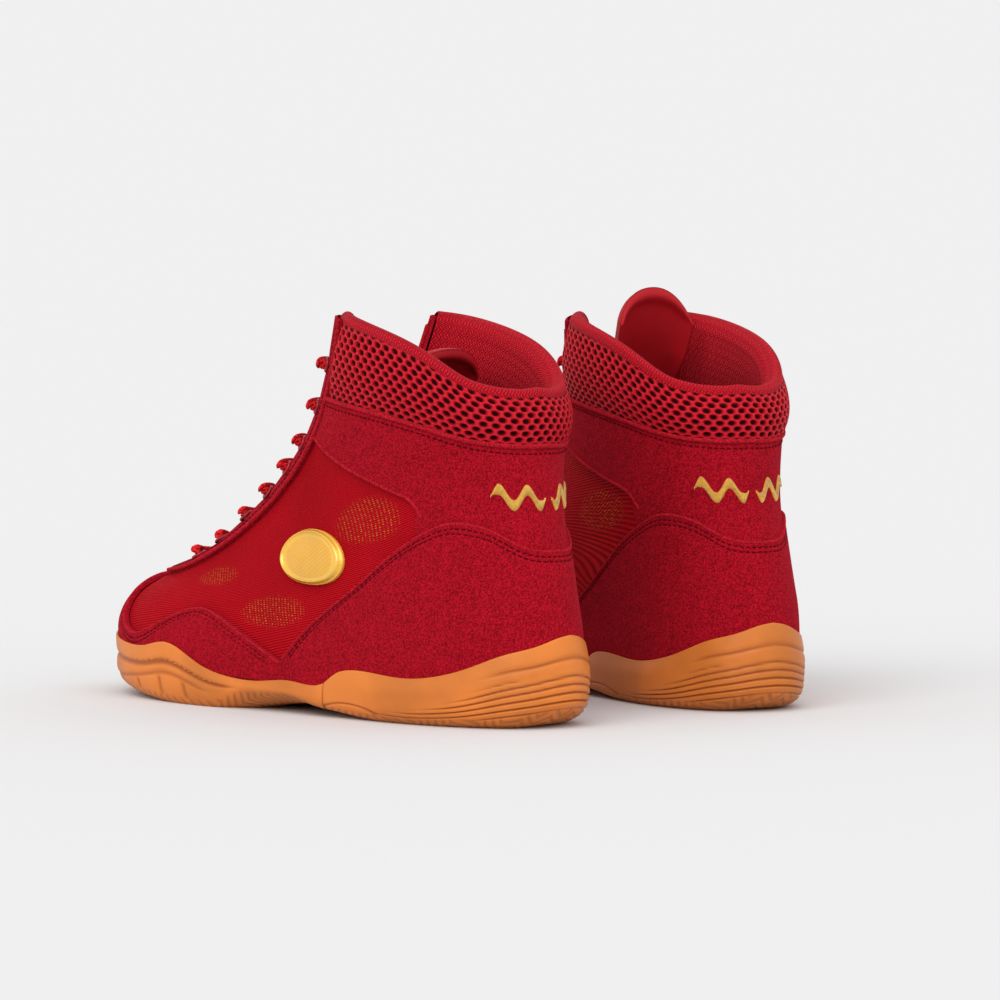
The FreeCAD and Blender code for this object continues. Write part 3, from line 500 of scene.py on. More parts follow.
def tube(points, normals, radius, sides=10, flat=1.0):
    """A cord along a line: a circle carried along it, squashed by flat across the normal,
    with its ends drawn in to a point."""
    points = np.asarray(points, float)
    along = unit(np.gradient(points, axis=0))
    normals = unit(normals - (normals * along).sum(-1, keepdims=True) * along)
    across = np.cross(along, normals)
    turns = np.linspace(0, 2 * math.pi, sides + 1)[:-1]
    swell = np.ones(len(points))
    swell[0] = swell[-1] = 0.02
    radius = np.broadcast_to(radius, (len(points),))
    ring = (np.cos(turns)[None, :, None] * across[:, None, :]
            + np.sin(turns)[None, :, None] * normals[:, None, :] * flat)
    grid = points[:, None, :] + ring * (radius * swell)[:, None, None]
    run = np.concatenate([[0], np.cumsum(np.linalg.norm(np.diff(points, axis=0), axis=-1))])
    uv = np.stack(np.broadcast_arrays(turns[None, :] / (2 * math.pi), run[:, None]), -1)
    return Sheet(grid, uv=uv, wrap=True, flip=True)


def ring_loop(front, back):
    """A closed tube of rows: the front sheet's columns and then the back sheet's, reversed,
    with both ends closed on the line midway between them."""
    loop = np.concatenate([front, back[:, ::-1]], 1)
    middle = (front + back) / 2
    closing = np.concatenate([middle, middle[:, ::-1]], 1)
    grid = np.concatenate([closing[:1], loop, closing[-1:]], 0)
    return grid


def closed_pad(front, back, flip=False, marks=None):
    grid = ring_loop(front, back)
    return Sheet(grid, wrap=True, flip=flip, marks=marks)


def even_grid(low, high, first, last, rows, columns):
    """Levels and angles of an even grid between two edges given as functions of the angle."""
    angle = np.broadcast_to(np.linspace(first, last, columns), (rows, columns))
    share = np.linspace(0, 1, rows)[:, None]
    return mix(low(angle[0])[None, :], high(angle[0])[None, :], share), angle


def style(line):
    """A style line as a function of the angle, the same on both sides of the boot."""
    return lambda angle: natural_spline(line[0], line[1], turn_of(angle))


counter_top = style(COUNTER_TOP)
band_edge = style(BAND_EDGE)
guard_top = style(GUARD_TOP)
sole_top = style(SOLE_TOP)


def lowest(angle):
    return LOWEST + 0 * np.asarray(angle, float)


# ---------------------------------------------------------------- padding

def inflated(grid, held, pressure, cap):
    """Blows up a closed pad with a cloth simulation. The grid is a tube of rows closed at both
    ends; held rows and columns stay put, and no point moves further than the cap."""
    rows, columns = grid.shape[:2]
    mesh = bpy.data.meshes.new("padding")
    mesh.from_pydata((grid.reshape(-1, 3) * 0.001).tolist(), [],
                     grid_faces(rows, columns, wrap=True).tolist())
    pad = bpy.data.objects.new("padding", mesh)
    bpy.context.scene.collection.objects.link(pad)
    group = pad.vertex_groups.new(name="held")
    for weight in (1.0, 0.5):
        chosen = np.nonzero(np.isclose(held.ravel(), weight))[0]
        group.add(chosen.tolist(), weight, "REPLACE")
    cloth = pad.modifiers.new("Cloth", "CLOTH")
    cloth.settings.quality = 6
    cloth.settings.mass = 0.1
    cloth.settings.tension_stiffness = 25
    cloth.settings.compression_stiffness = 25
    cloth.settings.shear_stiffness = 10
    cloth.settings.bending_stiffness = 2.0
    cloth.settings.vertex_group_mass = "held"
    cloth.settings.use_pressure = True
    cloth.settings.uniform_pressure_force = pressure
    cloth.settings.effector_weights.gravity = 0
    cloth.collision_settings.use_collision = False
    cloth.point_cache.frame_start = 1
    cloth.point_cache.frame_end = 20
    for step in range(1, 21):
        bpy.context.scene.frame_set(step)
    graph = bpy.context.evaluated_depsgraph_get()
    settled = pad.evaluated_get(graph).data
    places = np.zeros(len(settled.vertices) * 3, np.float32)
    settled.vertices.foreach_get("co", places)
    places = places.reshape(rows, columns, 3) * 1000.0
    bpy.data.objects.remove(pad)
    bpy.data.meshes.remove(mesh)
    bpy.context.scene.frame_set(1)
    if not np.isfinite(places).all():
        return grid
    move = places - grid
    reach = np.linalg.norm(move, axis=-1, keepdims=True)
    return grid + move * np.minimum(1, cap / np.maximum(reach, 1e-6)) * (1 - held[..., None])


def finer(grid, rows, columns):
    """A grid read more finely: a natural spline up its rows and then along its columns."""
    up = natural_spline(np.arange(grid.shape[0]), grid, rows)
    return np.moveaxis(natural_spline(np.arange(grid.shape[1]), np.moveaxis(up, 1, 0), columns), 0, 1)


def grid_normals(grid):
    """Unit normals of a grid: the row direction crossed with the column direction."""
    return unit(np.cross(np.gradient(grid, axis=0), np.gradient(grid, axis=1)))


# ---------------------------------------------------------------- uppers

def throat_edge(level):
    return natural_spline(THROAT_EDGE[0], THROAT_EDGE[1], level)


def fabric_top(angle):
    """The top of the quarter fabric: under the ankle band at the sides, down along the throat
    and across the vamp."""
    turn = turn_of(angle)
    keys = (146, 149, 150, 152, 155, 163, 166, 180)
    levels = (0.80, 0.78, 0.72, 0.58, 0.44, 0.345, 0.335, 0.335)
    throat = np.interp(turn + 1.5, keys, levels)
    return np.where(turn < 145, band_edge(angle) + 0.02, np.minimum(throat, band_edge(angle) + 0.02))


def fabric_low(angle):
    turn = turn_of(angle)
    behind = counter_top(angle) - 0.05
    ahead = np.maximum(guard_top(angle) - 0.05, LOWEST)
    return mix(behind, ahead, ramp(turn, 84, 94))


# Places of the open-work patches in the fabric: (level, angle, half height, half width).
PATCHES = ((0.545, 82.0, 0.075, 13.0), (0.235, 95.0, 0.055, 9.0), (0.33, 124.0, 0.035, 8.0))


def quarter_fabric():
    """The fabric from one counter round the vamp to the other, lying just inside the form, with
    a shallow crease over the toes; open-work patches are marked as soft ellipses."""
    level, angle = even_grid(fabric_low, fabric_top, 61, 299, 90, 430)
    turn = turn_of(angle)
    lift = -1.25 + 0.5 * np.exp(-((level - 0.30) / 0.03) ** 2) * ramp(turn, 150, 176)
    lift = lift - 0.55 * np.exp(-((level - 0.305 + 0.0008 * (turn - 150)) / 0.012) ** 2) * ramp(turn,
                                                                                                122, 150)
    openness = np.zeros_like(level)
    for place, around, height, width in PATCHES:
        reach = np.sqrt(((level - place) / height) ** 2 + ((turn - around) / width) ** 2)
        openness = np.maximum(openness, 1 - ramp(reach, 0.75, 1.1))
    return Sheet(offset(level, angle, lift), uv=cloth_uv(level, angle), marks={"openness": openness})


def stitch_lines(edge, first, last, insets, lift, pitch=2.9):
    """Stitches along lines at these distances below an edge given as a function of the angle."""
    angle = np.linspace(first, last, 400)
    rows = []
    for inset in insets:
        wall = np.linalg.norm(form_point(edge(angle), angle) - form_point(edge(angle) - 0.02, angle),
                              axis=-1) / 0.02
        level = np.maximum(edge(angle) - inset / wall, LOWEST)
        point, normal, _ = form_frame(level, angle)
        rows.append(stitches(point + normal * lift, normal, pitch))
    return joined(rows)


def band_low(angle):
    return mix(counter_top(angle) - 0.04, band_edge(angle), ramp(turn_of(angle), 58, 65))


def vent_rings():
    """Four punched vents in the ankle band on the outer side: short barrels sunk in the suede."""
    rings = []
    for level, angle in ((0.78, 123.0), (0.76, 107.0), (0.745, 90.0), (0.725, 71.0)):
        point, normal, rise = form_frame(np.array(level), np.array(angle))
        across = np.cross(normal, rise)
        turns = np.linspace(0, 2 * math.pi, 17)[:-1]
        profile = np.array([(1.15, -0.3), (1.1, 0.42), (0.95, 0.52), (0.8, 0.42), (0.72, -0.3),
                            (0.0, -0.35)])
        ring = (np.cos(turns)[None, :, None] * rise + np.sin(turns)[None, :, None] * across)
        grid = point + ring * profile[:, :1, None] + normal * profile[:, 1:, None]
        # How far down the barrel each ring lies; the vent material turns this into painted shade.
        depth = np.broadcast_to(np.array([0, 0, 0, 0.3, 1, 1.0])[:, None], grid.shape[:2])
        rings.append(Sheet(grid, wrap=True, flip=False, marks={"sunk": depth}))
    return joined(rings)


def throat_curves(share):
    """Inner and outer edges of the throat panel, as (level, angle) splines through their points
    on the outer side and the same ones mirrored on the inner side."""
    inside = list(THROAT_INSIDE) + [(l, 360 - a) for l, a in THROAT_INSIDE[-2::-1]]
    outside = list(THROAT_OUTSIDE) + [(l, 360 - a) for l, a in THROAT_OUTSIDE[-2::-1]]
    keys = np.linspace(0, 1, len(inside))
    return natural_spline(keys, inside, share), natural_spline(keys, outside, share)


def throat_panel():
    """The suede panel round the throat: a strip between its two edge curves, down one side,
    over the vamp and up the other, with both edges rounded and a dent beside the piping."""
    share = np.linspace(0, 1, 560)
    inside, outside = throat_curves(share)
    span = np.linalg.norm(form_point(inside[:, 0], inside[:, 1]) - form_point(outside[:, 0],
                                                                              outside[:, 1]), axis=-1)
    across = edge_steps(span, 1.0, 4.2, 1.8, True)
    part = across / span
    level = inside[:, 0] + (outside[:, 0] - inside[:, 0]) * part
    angle = inside[:, 1] + (outside[:, 1] - inside[:, 1]) * part
    from_edge = np.minimum(across, span - across)
    lift = 0.5 + 1.0 * hem(from_edge, 1.0) - 0.35 * np.exp(-((span - across - 3.0) / 0.6) ** 2)
    lift[0] -= 4.0
    lift[-1] -= 1.8
    lift = lift - 1.2 * np.isin(np.arange(len(share)), (0, len(share) - 1))[None, :]
    for eyelet_level in EYELET_LEVELS:
        for side in (1, -1):
            centre = form_point(eyelet_level, side * (throat_edge(eyelet_level) - EYELET_INSET))
            away = np.linalg.norm(form_point(level, angle) - centre, axis=-1)
            lift = lift - 0.35 * np.exp(-(away / 4.5) ** 2) * (from_edge > 0.5)
    return Sheet(offset(level, angle, lift), uv=cloth_uv(level, angle))


def throat_backing():
    """The lining behind the upper throat panel, facing inwards."""
    sheets = []
    for side in (1, -1):
        level = np.linspace(0.80, 1.02, 24)[:, None]
        part = np.linspace(0, 1, 14)[None, :]
        angle = side * mix(132.0, throat_edge(level) + 0.2, part)
        sheets.append(Sheet(offset(level, angle, -0.6 + 0 * angle), uv=cloth_uv(level, angle),
                            flip=side > 0))
    return joined(sheets)


def piping(level_line, first, last, lift, radius, count=420):
    """A round cord along a level line of the form."""
    angle = np.linspace(first, last, count)
    point, normal, _ = form_frame(level_line(angle), angle)
    return tube(point + normal * lift, normal, radius, sides=10)


def throat_piping():
    """Rolled cords along the outer edge and the inner edge of the throat panel."""
    share = np.linspace(0.004, 0.996, 560)
    inside, outside = throat_curves(share)
    cords = []
    for edge, lift, radius in ((outside, 0.9, 0.95), (inside, 0.2, 1.25)):
        point, normal, _ = form_frame(edge[:, 0], edge[:, 1])
        cords.append(tube(point + normal * lift, normal, radius, sides=10))
    return joined(cords)


def throat_stitches():
    share = np.linspace(0.01, 0.99, 700)
    inside, outside = throat_curves(share)
    span = np.linalg.norm(form_point(inside[:, 0], inside[:, 1]) - form_point(outside[:, 0],
                                                                              outside[:, 1]), axis=-1)
    part = (3.0 / span)[:, None]
    line = outside + (inside - outside) * part
    point, normal, _ = form_frame(line[:, 0], line[:, 1])
    return stitches(point + normal * 1.3, normal, 2.9)


def eyelet_seats(side):
    level = np.array(EYELET_LEVELS)
    point, normal, rise = form_frame(level, side * (throat_edge(level) - EYELET_INSET))
    return point + normal * 0.5, normal, rise


def eyelet_rings():
    """Flanged eyelets: a rolled profile turned about each eyelet's axis."""
    profile = np.array([(2.0, -0.4), (2.0, 1.4), (2.15, 1.85), (2.6, 2.12), (3.15, 2.05), (3.55, 1.7),
                        (3.7, 1.2), (3.5, 0.9)])
    turns = np.linspace(0, 2 * math.pi, 25)[:-1]
    rings = []
    for side in (1, -1):
        points, normals, rises = eyelet_seats(side)
        for point, normal, rise in zip(points, normals, rises):
            across = np.cross(normal, rise)
            ring = np.cos(turns)[None, :, None] * rise + np.sin(turns)[None, :, None] * across
            grid = point + ring * profile[:, :1, None] + normal * (profile[:, 1:, None] - 0.1)
            rings.append(Sheet(grid, wrap=True, flip=True))
    return joined(rings)


def lace_rows():
    """Each lace row is a braided cord, wider than thick, carried along a spline from under one
    eyelet, over the strip's edge, across the tongue and down through the other eyelet."""
    outer, outer_normal, _ = eyelet_seats(1)
    inner, inner_normal, _ = eyelet_seats(-1)
    rows = []
    for i, level in enumerate(EYELET_LEVELS):
        edge = throat_edge(level)
        level_here = np.array([level, level, level, level, level])
        angles = np.array([edge - 1.0, edge + 8.0, 180.0, 352.0 - edge, 361.0 - edge])
        lifts = np.array([4.3, 2.6, 1.9, 2.6, 4.3])
        drift = 0.012 * (1 if i % 2 == 0 else -1)
        over = offset(level_here + np.array([0, 0.4, 0, -0.4, 0]) * drift, angles, lifts)
        a, na = outer[i], outer_normal[i]
        b, nb = inner[i], inner_normal[i]
        knots = np.array([a - na * 2.4, a + na * 1.8, a + na * 4.1, *over, b + nb * 4.1, b + nb * 1.8,
                          b - nb * 2.4])
        run = np.concatenate([[0], np.cumsum(np.linalg.norm(np.diff(knots, axis=0), axis=-1))])
        line = natural_spline(run, knots, np.linspace(0, run[-1], 130))
        middle = form_point(level, 180.0) - form_frame(np.array(level), np.array(180.0))[1] * 60
        rows.append(tube(line, line - middle, 2.45, sides=14, flat=0.60))
    return joined(rows)


def lower_tongue():
    """The padded tongue under the laces: a pillow between two skins that meet at its edges."""
    up = np.linspace(0, 1, 46)[:, None]
    part = np.linspace(0, 1, 30)[None, :]
    level = mix(0.345, 0.785, up) + 0 * part
    half = mix(25, 34, ramp(level, 0.35, 0.5))
    half = mix(half, 29, ramp(level, 0.66, 0.80))
    angle = 180 + half * (2 * part - 1)
    swell = (1 - np.abs(2 * part - 1) ** 6) ** 0.5 * (1 - np.abs(2 * up - 1) ** 10) ** 0.5
    ribs = 0.25 * np.cos(2 * math.pi * (level - 0.345) / 0.09)
    front = offset(level, angle, -8.0 + (1.3 + ribs) * swell)
    back = offset(level, angle, -8.0 - 1.4 * swell)
    return closed_pad(front, back, flip=False)


def tongue_end(lean, top, half, fold):
    """The free end of the tongue: arched at the top, cupped across, thick along its rolled
    edge, tipped back about the fold by its lean, and its sides folded towards the heel."""
    up = np.linspace(0, 1, 34)[:, None]
    part = np.linspace(0, 1, 36)[None, :]
    across = 2 * part - 1
    level = mix(0.80, 1.0 + top / 140.0, up) - 0.11 * up * up * across ** 2
    angle = 180 + mix(27.0, half, ramp(up, 0.0, 0.5)) * across
    point, normal, rise = form_frame(np.minimum(level, 1.0), angle)
    point = point + rise * (np.maximum(level - 1.0, 0) * 140.0)[..., None]
    edge = np.minimum((1 - np.abs(across)) * 30.0, (1 - up) * 46.0)
    swell = hem(edge, 2.6)
    thick = 1.25 + 1.5 * np.exp(-((edge - 3.4) / 2.6) ** 2)
    middle = -8.0 - 3.0 * up - 2.8 * ramp(up, 0.0, 0.22) - fold * np.abs(across) ** 2.5 * ramp(up, 0.05,
                                                                                               0.5)

    def tipped(lift):
        place = point + normal * lift[..., None]
        hinge = offset(np.array(0.806), np.array(180.0), np.array(-8.0))
        tip = np.radians(-lean) * ramp(up, 0.0, 0.6) + 0 * across
        away = place - hinge
        x = away[..., 0] * np.cos(tip) + away[..., 2] * np.sin(tip)
        z = -away[..., 0] * np.sin(tip) + away[..., 2] * np.cos(tip)
        return hinge + np.stack([x, away[..., 1], z], -1)
    return tipped(middle + thick * swell), tipped(middle - thick * swell)


# ---------------------------------------------------------------- collar

COLLAR_ROWS = 40
COLLAR_COLUMNS = 96
COLLAR_END = 148.0
SEAM_RISE = 3.4           # the air mesh meets the rolled lining this far above the rim line


def collar_loop():
    """The padded collar as a tube bent round the ankle. Its section runs from the seam up the
    swelling outer face to the piping, over the rolled rim and down the inside, and closes
    across the bottom; towards the throat it thins out under the throat panel."""
    angle = np.linspace(-COLLAR_END, COLLAR_END, COLLAR_COLUMNS)[None, :]
    drop = np.linalg.norm(form_point(1.0, angle) - form_point(COLLAR_SEAM, angle), axis=-1)
    thin = ramp(turn_of(angle), 126, 134)
    share = np.linspace(0, 1, COLLAR_ROWS)[:, None]
    rise_part = np.clip(share / 0.38, 0, 1)
    roll_part = np.clip((share - 0.38) / 0.30, 0, 1)
    down_part = np.clip((share - 0.68) / 0.32, 0, 1)
    swell = mix(0.3, -0.9, rise_part) + 3.4 * np.sin(math.pi * rise_part) ** 0.8
    outer_out = swell * (1 - thin) - 0.1 * thin
    roll = math.pi * roll_part
    roll_out = -5.4 + 4.9 * np.cos(roll) + 0.9 * np.sin(roll)
    roll_out = roll_out * (1 - thin) + thin * (-4.9 + 4.0 * np.cos(roll))
    inner_out = mix(-10.1, -5.0, down_part) - 2.2 * np.sin(math.pi * down_part)
    inner_out = inner_out + thin * 1.2
    out = np.where(share <= 0.38, outer_out, np.where(share <= 0.68, roll_out, inner_out))
    rise = np.where(share <= 0.38, mix(-drop, SEAM_RISE, rise_part),
                    np.where(share <= 0.68, SEAM_RISE * (1 - roll_part) + 5.8 * np.sin(roll),
                             -drop * down_part))
    return rim_place(angle, out + 0 * rise, rise + 0 * out), angle


def collar_pads():
    """The swollen collar, split into its air mesh and its knit lining. The air mesh has real
    oval dents in staggered rows."""
    grid, angle = collar_loop()
    tube_grid = np.moveaxis(grid, 0, 1)
    middle = tube_grid.mean(1, keepdims=True) + 0 * tube_grid
    closed = np.concatenate([middle[:1], tube_grid, middle[-1:]], 0)
    share = np.linspace(0, 1, COLLAR_ROWS)
    held = np.zeros(closed.shape[:2])
    held[:, (share < 0.02) | (np.abs(share - 0.38) < 0.02) | (share > 0.98)] = 1.0
    held[:10] = held[-10:] = 1.0
    blown = inflated(closed[:, ::-1], held[:, ::-1], 4.0, 2.2)[:, ::-1]
    grid = np.moveaxis(blown[1:-1], 0, 1)
    piping_row = 0.38 * (COLLAR_ROWS - 1)
    columns = np.linspace(0, COLLAR_COLUMNS - 1, 640)
    outer = finer(grid, np.linspace(0, piping_row, 76), columns)
    outer_uv = lengths_uv(outer)
    holes = oval_holes(outer_uv[..., 0], outer_uv[..., 1])
    margin = np.linspace(0, 1, 76)[:, None]
    holes = holes * ramp(margin, 0.02, 0.08) * (1 - ramp(margin, 0.92, 0.985))
    dented = outer - grid_normals(outer) * (1.5 * holes)[..., None]
    air = Sheet(dented, uv=outer_uv)
    inner = finer(grid, np.linspace(piping_row, COLLAR_ROWS - 1, 70),
                  np.linspace(0, COLLAR_COLUMNS - 1, 420))
    lip = inner[:1] - grid_normals(inner)[:1] * 1.2
    inner = np.concatenate([lip, inner], 0)
    return air, Sheet(inner, uv=lengths_uv(inner))


HOLE_ACROSS = 5.6
HOLE_UP = 2.75
HOLE_WIDTH = 1.85
HOLE_HEIGHT = 1.26


def oval_holes(u, v):
    """1 in the ovals of a staggered lattice and 0 between them: rows are one pitch up apart,
    and every other row is moved by half a pitch across."""
    row = np.round(v / HOLE_UP)
    across = u / HOLE_ACROSS + 0.5 * np.mod(row, 2)
    across = (across - np.round(across)) * HOLE_ACROSS / HOLE_WIDTH
    up = (v - row * HOLE_UP) / HOLE_HEIGHT
    return 1 - ramp(np.sqrt(across ** 2 + up ** 2), 0.62, 1.12)


def lining_sheet():
    """The lining inside the foot and the shaft, facing inwards."""
    def low(angle):
        return lowest(angle)
    def high(angle):
        turn = turn_of(angle)
        side = COLLAR_SEAM - 0.005 + 0 * turn
        return np.where(turn < 147, side, np.minimum(side,
                                                     np.interp(turn, (147, 151, 153, 156, 163, 167, 180),
                                                                     (0.80, 0.60, 0.50, 0.45, 0.36, 0.34,
                                                                      0.34))))
    level, angle = even_grid(low, high, 0, 360, 70, 300)
    return Sheet(offset(level, angle, -4.2 + 0 * level), uv=cloth_uv(level, angle), flip=True)


# ---------------------------------------------------------------- trim

def badge():
    """A plain oval badge on the outer side: a domed oval with a raised rim and fine parallel
    ribs, its height a function of the distance from the middle."""
    level, angle = 0.42, 95.0
    wall = np.linalg.norm(form_point(level + 0.05, angle) - form_point(level - 0.05, angle)) / 0.1
    per_degree = np.linalg.norm(form_point(level, angle + 5) - form_point(level, angle - 5)) / 10
    slant = math.radians(24)
    reach = np.concatenate([np.linspace(0, 0.80, 34), np.linspace(0.815, 1.0, 22), [1.0]])[:, None]
    turns = np.linspace(0, 2 * math.pi, 161)[None, :-1]
    across = np.sin(turns) * reach * 13.5
    along = np.cos(turns) * reach * 26.0
    ahead = along * math.cos(slant) - across * math.sin(slant)
    up = along * math.sin(slant) + across * math.cos(slant)
    dome = 1.55 * np.sqrt(np.maximum(1 - (reach / 1.25) ** 2, 0))
    rim = 1.0 * np.exp(-((reach - 0.90) / 0.045) ** 2)
    ribs = 0.16 * np.cos(2 * math.pi * along / 2.6) * (1 - ramp(reach, 0.66, 0.74))
    groove = -0.35 * np.exp(-((reach - 0.77) / 0.02) ** 2)
    height = 0.35 + dome * (1 - ramp(reach, 0.93, 1.0) * 0.9) + rim + ribs + groove
    height = height * np.ones_like(turns)
    height[-1] = -1.2
    points = offset(level + up / wall, angle + ahead / per_degree, height)
    polish = 1 - ramp(reach, 0.70, 0.76) + 0 * turns
    return Sheet(points, wrap=True, flip=True, uv=np.stack([along, across], -1), marks={"ribbed": polish})


def heel_waves():
    """Two embroidered ribbons, one either side of the back seam: each follows a sine wave and
    is rounded across like satin stitch over a cord."""
    ribbons = []
    for side in (1, -1):
        along = np.linspace(0, 1, 200)[None, :]
        part = np.linspace(-1, 1, 17)[:, None]
        angle = side * mix(33.0, 2.5, along) + 0 * part
        taper = np.clip(np.sin(math.pi * along) * 3.0, 0.25, 1.0)
        level = 0.65 + 0.026 * np.sin(4 * math.pi * along) + 0.019 * part * taper
        lift = 0.25 + 1.15 * np.sqrt(np.maximum(1 - part ** 2, 0)) * ramp(np.minimum(along, 1 - along),
                                                                          0, 0.012)
        lift = lift + 0.06 * np.sin(2 * math.pi * along * 62 + part)
        uv = np.stack(np.broadcast_arrays(along * 62.0, part * 2.0), -1)
        ribbons.append(Sheet(offset(level, angle, lift), uv=uv, flip=side < 0))
    return joined(ribbons)


# ---------------------------------------------------------------- sole

def spine(angle):
    """The point of the sole's centre line that a spoke at this angle starts from."""
    turn = turn_of(angle)
    outer = form_point(0.0, turn)
    inner = form_point(0.0, -turn)
    back = form_point(0.0, 0.0)
    front = form_point(0.0, 180.0)
    middle = (outer + inner) / 2
    inset = 38 * SCALE
    share = (middle[..., 0] - back[0]) / (front[0] - back[0])
    x = mix(back[0] + inset, front[0] - inset * 1.25, share)
    y = -TOE_SWING * SCALE * (x / (275.0 * SCALE)) ** 2
    y = mix(y, middle[..., 1], np.sin(math.pi * share))
    return np.stack([x, y, middle[..., 2]], -1)


def tread(x):
    start = form_point(0.0, 0.0)[0] - 4
    return natural_spline(TREAD_LINE[0], TREAD_LINE[1], (x - start) / SOLE_LENGTH) - 0.8


def spoke(angle, share, reach, climb=None, lift=0.0):
    """A point on a spoke of the sole: a share of the way to the rim, which stands out by reach.
    Its height climbs from the tread to the rim, or follows the rim where no climb is given."""
    foot = spine(angle)
    rim = offset(0.0 * np.asarray(angle, float), angle, reach + 0.0 * np.asarray(angle, float))
    place = foot + (rim - foot) * np.asarray(share, float)[..., None]
    if climb is None:
        place[..., 2] = place[..., 2] + lift
    else:
        place[..., 2] = mix(tread(place[..., 0]) + lift, place[..., 2], climb)
    return place


def clamped_basis(count, at):
    """Weights of a clamped cubic B-spline's control points at places from 0 to 1."""
    knots = np.concatenate([[0] * 3, np.linspace(0, 1, count - 2), [1] * 3])
    at = np.clip(at, 0, 1 - 1e-9)[:, None]
    weights = ((knots[None, :-1] <= at) & (at < knots[None, 1:])).astype(float)
    for degree in (1, 2, 3):
        left = knots[None, degree:-1] - knots[None, :-degree - 1]
        right = knots[None, degree + 1:] - knots[None, 1:-degree]
        a = np.where(left > 0, (at - knots[None, :-degree - 1]) / np.where(left > 0, left, 1), 0)
        b = np.where(right > 0, (knots[None, degree + 1:] - at) / np.where(right > 0, right, 1), 0)
        weights = a * weights[:, :-1] + b * weights[:, 1:]
    return weights


SOLE_REACH = 4.0
SOLE_INSIDE = 1.5
SOLE_LIP = 2.7


def sole_section(angle, rows):
    """The outer face of the sole at these angles: a B-spline through the spokes' control points
    under the foot and the wall's, from the centre line to the rim. The heel's wall swells and
    rounds under the foot, and the waist is cut away below."""
    turn = turn_of(angle)
    heel = 1 - ramp(turn, 60, 80)
    waist = ramp(turn, 78, 88) * (1 - ramp(turn, 97, 108))
    none = np.zeros_like(turn)
    points = ((none, none), (0.4 + none, none), (0.72 - 0.06 * heel, none),
              (0.87 - 0.06 * heel, 0.02 + 0.03 * heel + 0.30 * waist),
              (0.98 - 0.03 * heel, 0.16 + 0.06 * heel + 0.45 * waist),
              (1.015 + 0.01 * heel, 0.55 + 0.30 * waist))
    control = [spoke(angle, share, SOLE_REACH, climb) for share, climb in points]
    for part, reach in ((0.0, SOLE_REACH + 1.0 * heel), (0.5, SOLE_REACH - 0.4 + 1.5 * heel),
                        (1.0, SOLE_LIP + none)):
        control.append(offset(sole_top(angle) * part, angle, reach))
    return np.tensordot(clamped_basis(9, rows), np.array(control), 1)


def angle_at(x, reach=SOLE_REACH):
    """The angle on the outer and on the inner side at which the sole's rim is this far forward."""
    found = []
    for side in (1, -1):
        turns = np.linspace(40, 140, 600)
        rims = offset(0 * turns, side * turns, reach + 0 * turns)[:, 0]
        found.append(float(np.interp(x, rims, turns)))
    return found


def sole_unit(first, last, columns, carve):
    """A moulded unit of the sole between two angles: bottom, wall, a rounded lip and the inner
    wall as one closed profile per angle, with closed ends. Carve moves the outer face in
    by a depth that depends on the angle, the height and the distance from the centre."""
    rows = np.concatenate([np.linspace(0, 0.42, 14), np.linspace(0.44, 1.0, 74)])
    angle = np.linspace(first, last, columns)
    outer = sole_section(angle, rows)
    normals = grid_normals(outer)
    top = outer[-1:, :, 2]
    low = np.minimum(outer[..., 2].min(0, keepdims=True), top)
    height = np.clip((outer[..., 2] - low) / np.maximum(top - low, 1), 0, 1)
    wall = ramp(rows, 0.50, 0.60)[:, None]
    depth, shade = carve(angle[None, :] + 0 * height, height, outer, wall)
    outer = outer - normals * (depth * wall)[..., None]
    outer[..., 2] = np.maximum(outer[..., 2], 0.0)
    inner_rows = np.linspace(1.0, 0.0, 18)
    level = sole_top(angle)
    inner_top = offset(level, angle, SOLE_INSIDE + 0 * level)
    lip_out = outer[-1]
    turns = np.linspace(0, math.pi, 7)[1:-1][:, None, None]
    middle = (lip_out + inner_top) / 2
    half = (lip_out - inner_top) / 2
    _, _, rise = form_frame(level, angle)
    lip = middle + half * np.cos(turns) + rise * np.sin(turns) * np.linalg.norm(half, axis=-1,
                                                                                keepdims=True)
    wall_down = [offset(level * part, angle, SOLE_INSIDE + 0 * level) for part in inner_rows[:9]]
    under = [spoke(angle, share, SOLE_INSIDE, climb, 4.3)
             for share, climb in ((1.0, 0.6), (0.97, 0.2), (0.88, 0.02), (0.72, 0), (0.4, 0), (0, 0))]
    whole = np.concatenate([outer, lip, np.array(wall_down), np.array(under)], 0)
    ends = whole.mean(0)
    first_end = np.broadcast_to(ends[:1], whole[:, :1].shape)
    last_end = np.broadcast_to(ends[-1:], whole[:, -1:].shape)
    whole = np.concatenate([first_end, whole, last_end], 1)
    # The carve's shade mask goes into the groove mark, which the rubber uses for painted shade in the
    # grooves.
    marks = np.zeros(whole.shape[:2])
    marks[:len(rows), 1:-1] = shade * wall
    walls = np.zeros(whole.shape[:2])
    walls[:len(rows), 1:-1] = np.broadcast_to(wall, shade.shape)
    walls[len(rows):] = 1
    return Sheet(whole, uv=lengths_uv(whole), marks={"groove": marks, "wall": walls})


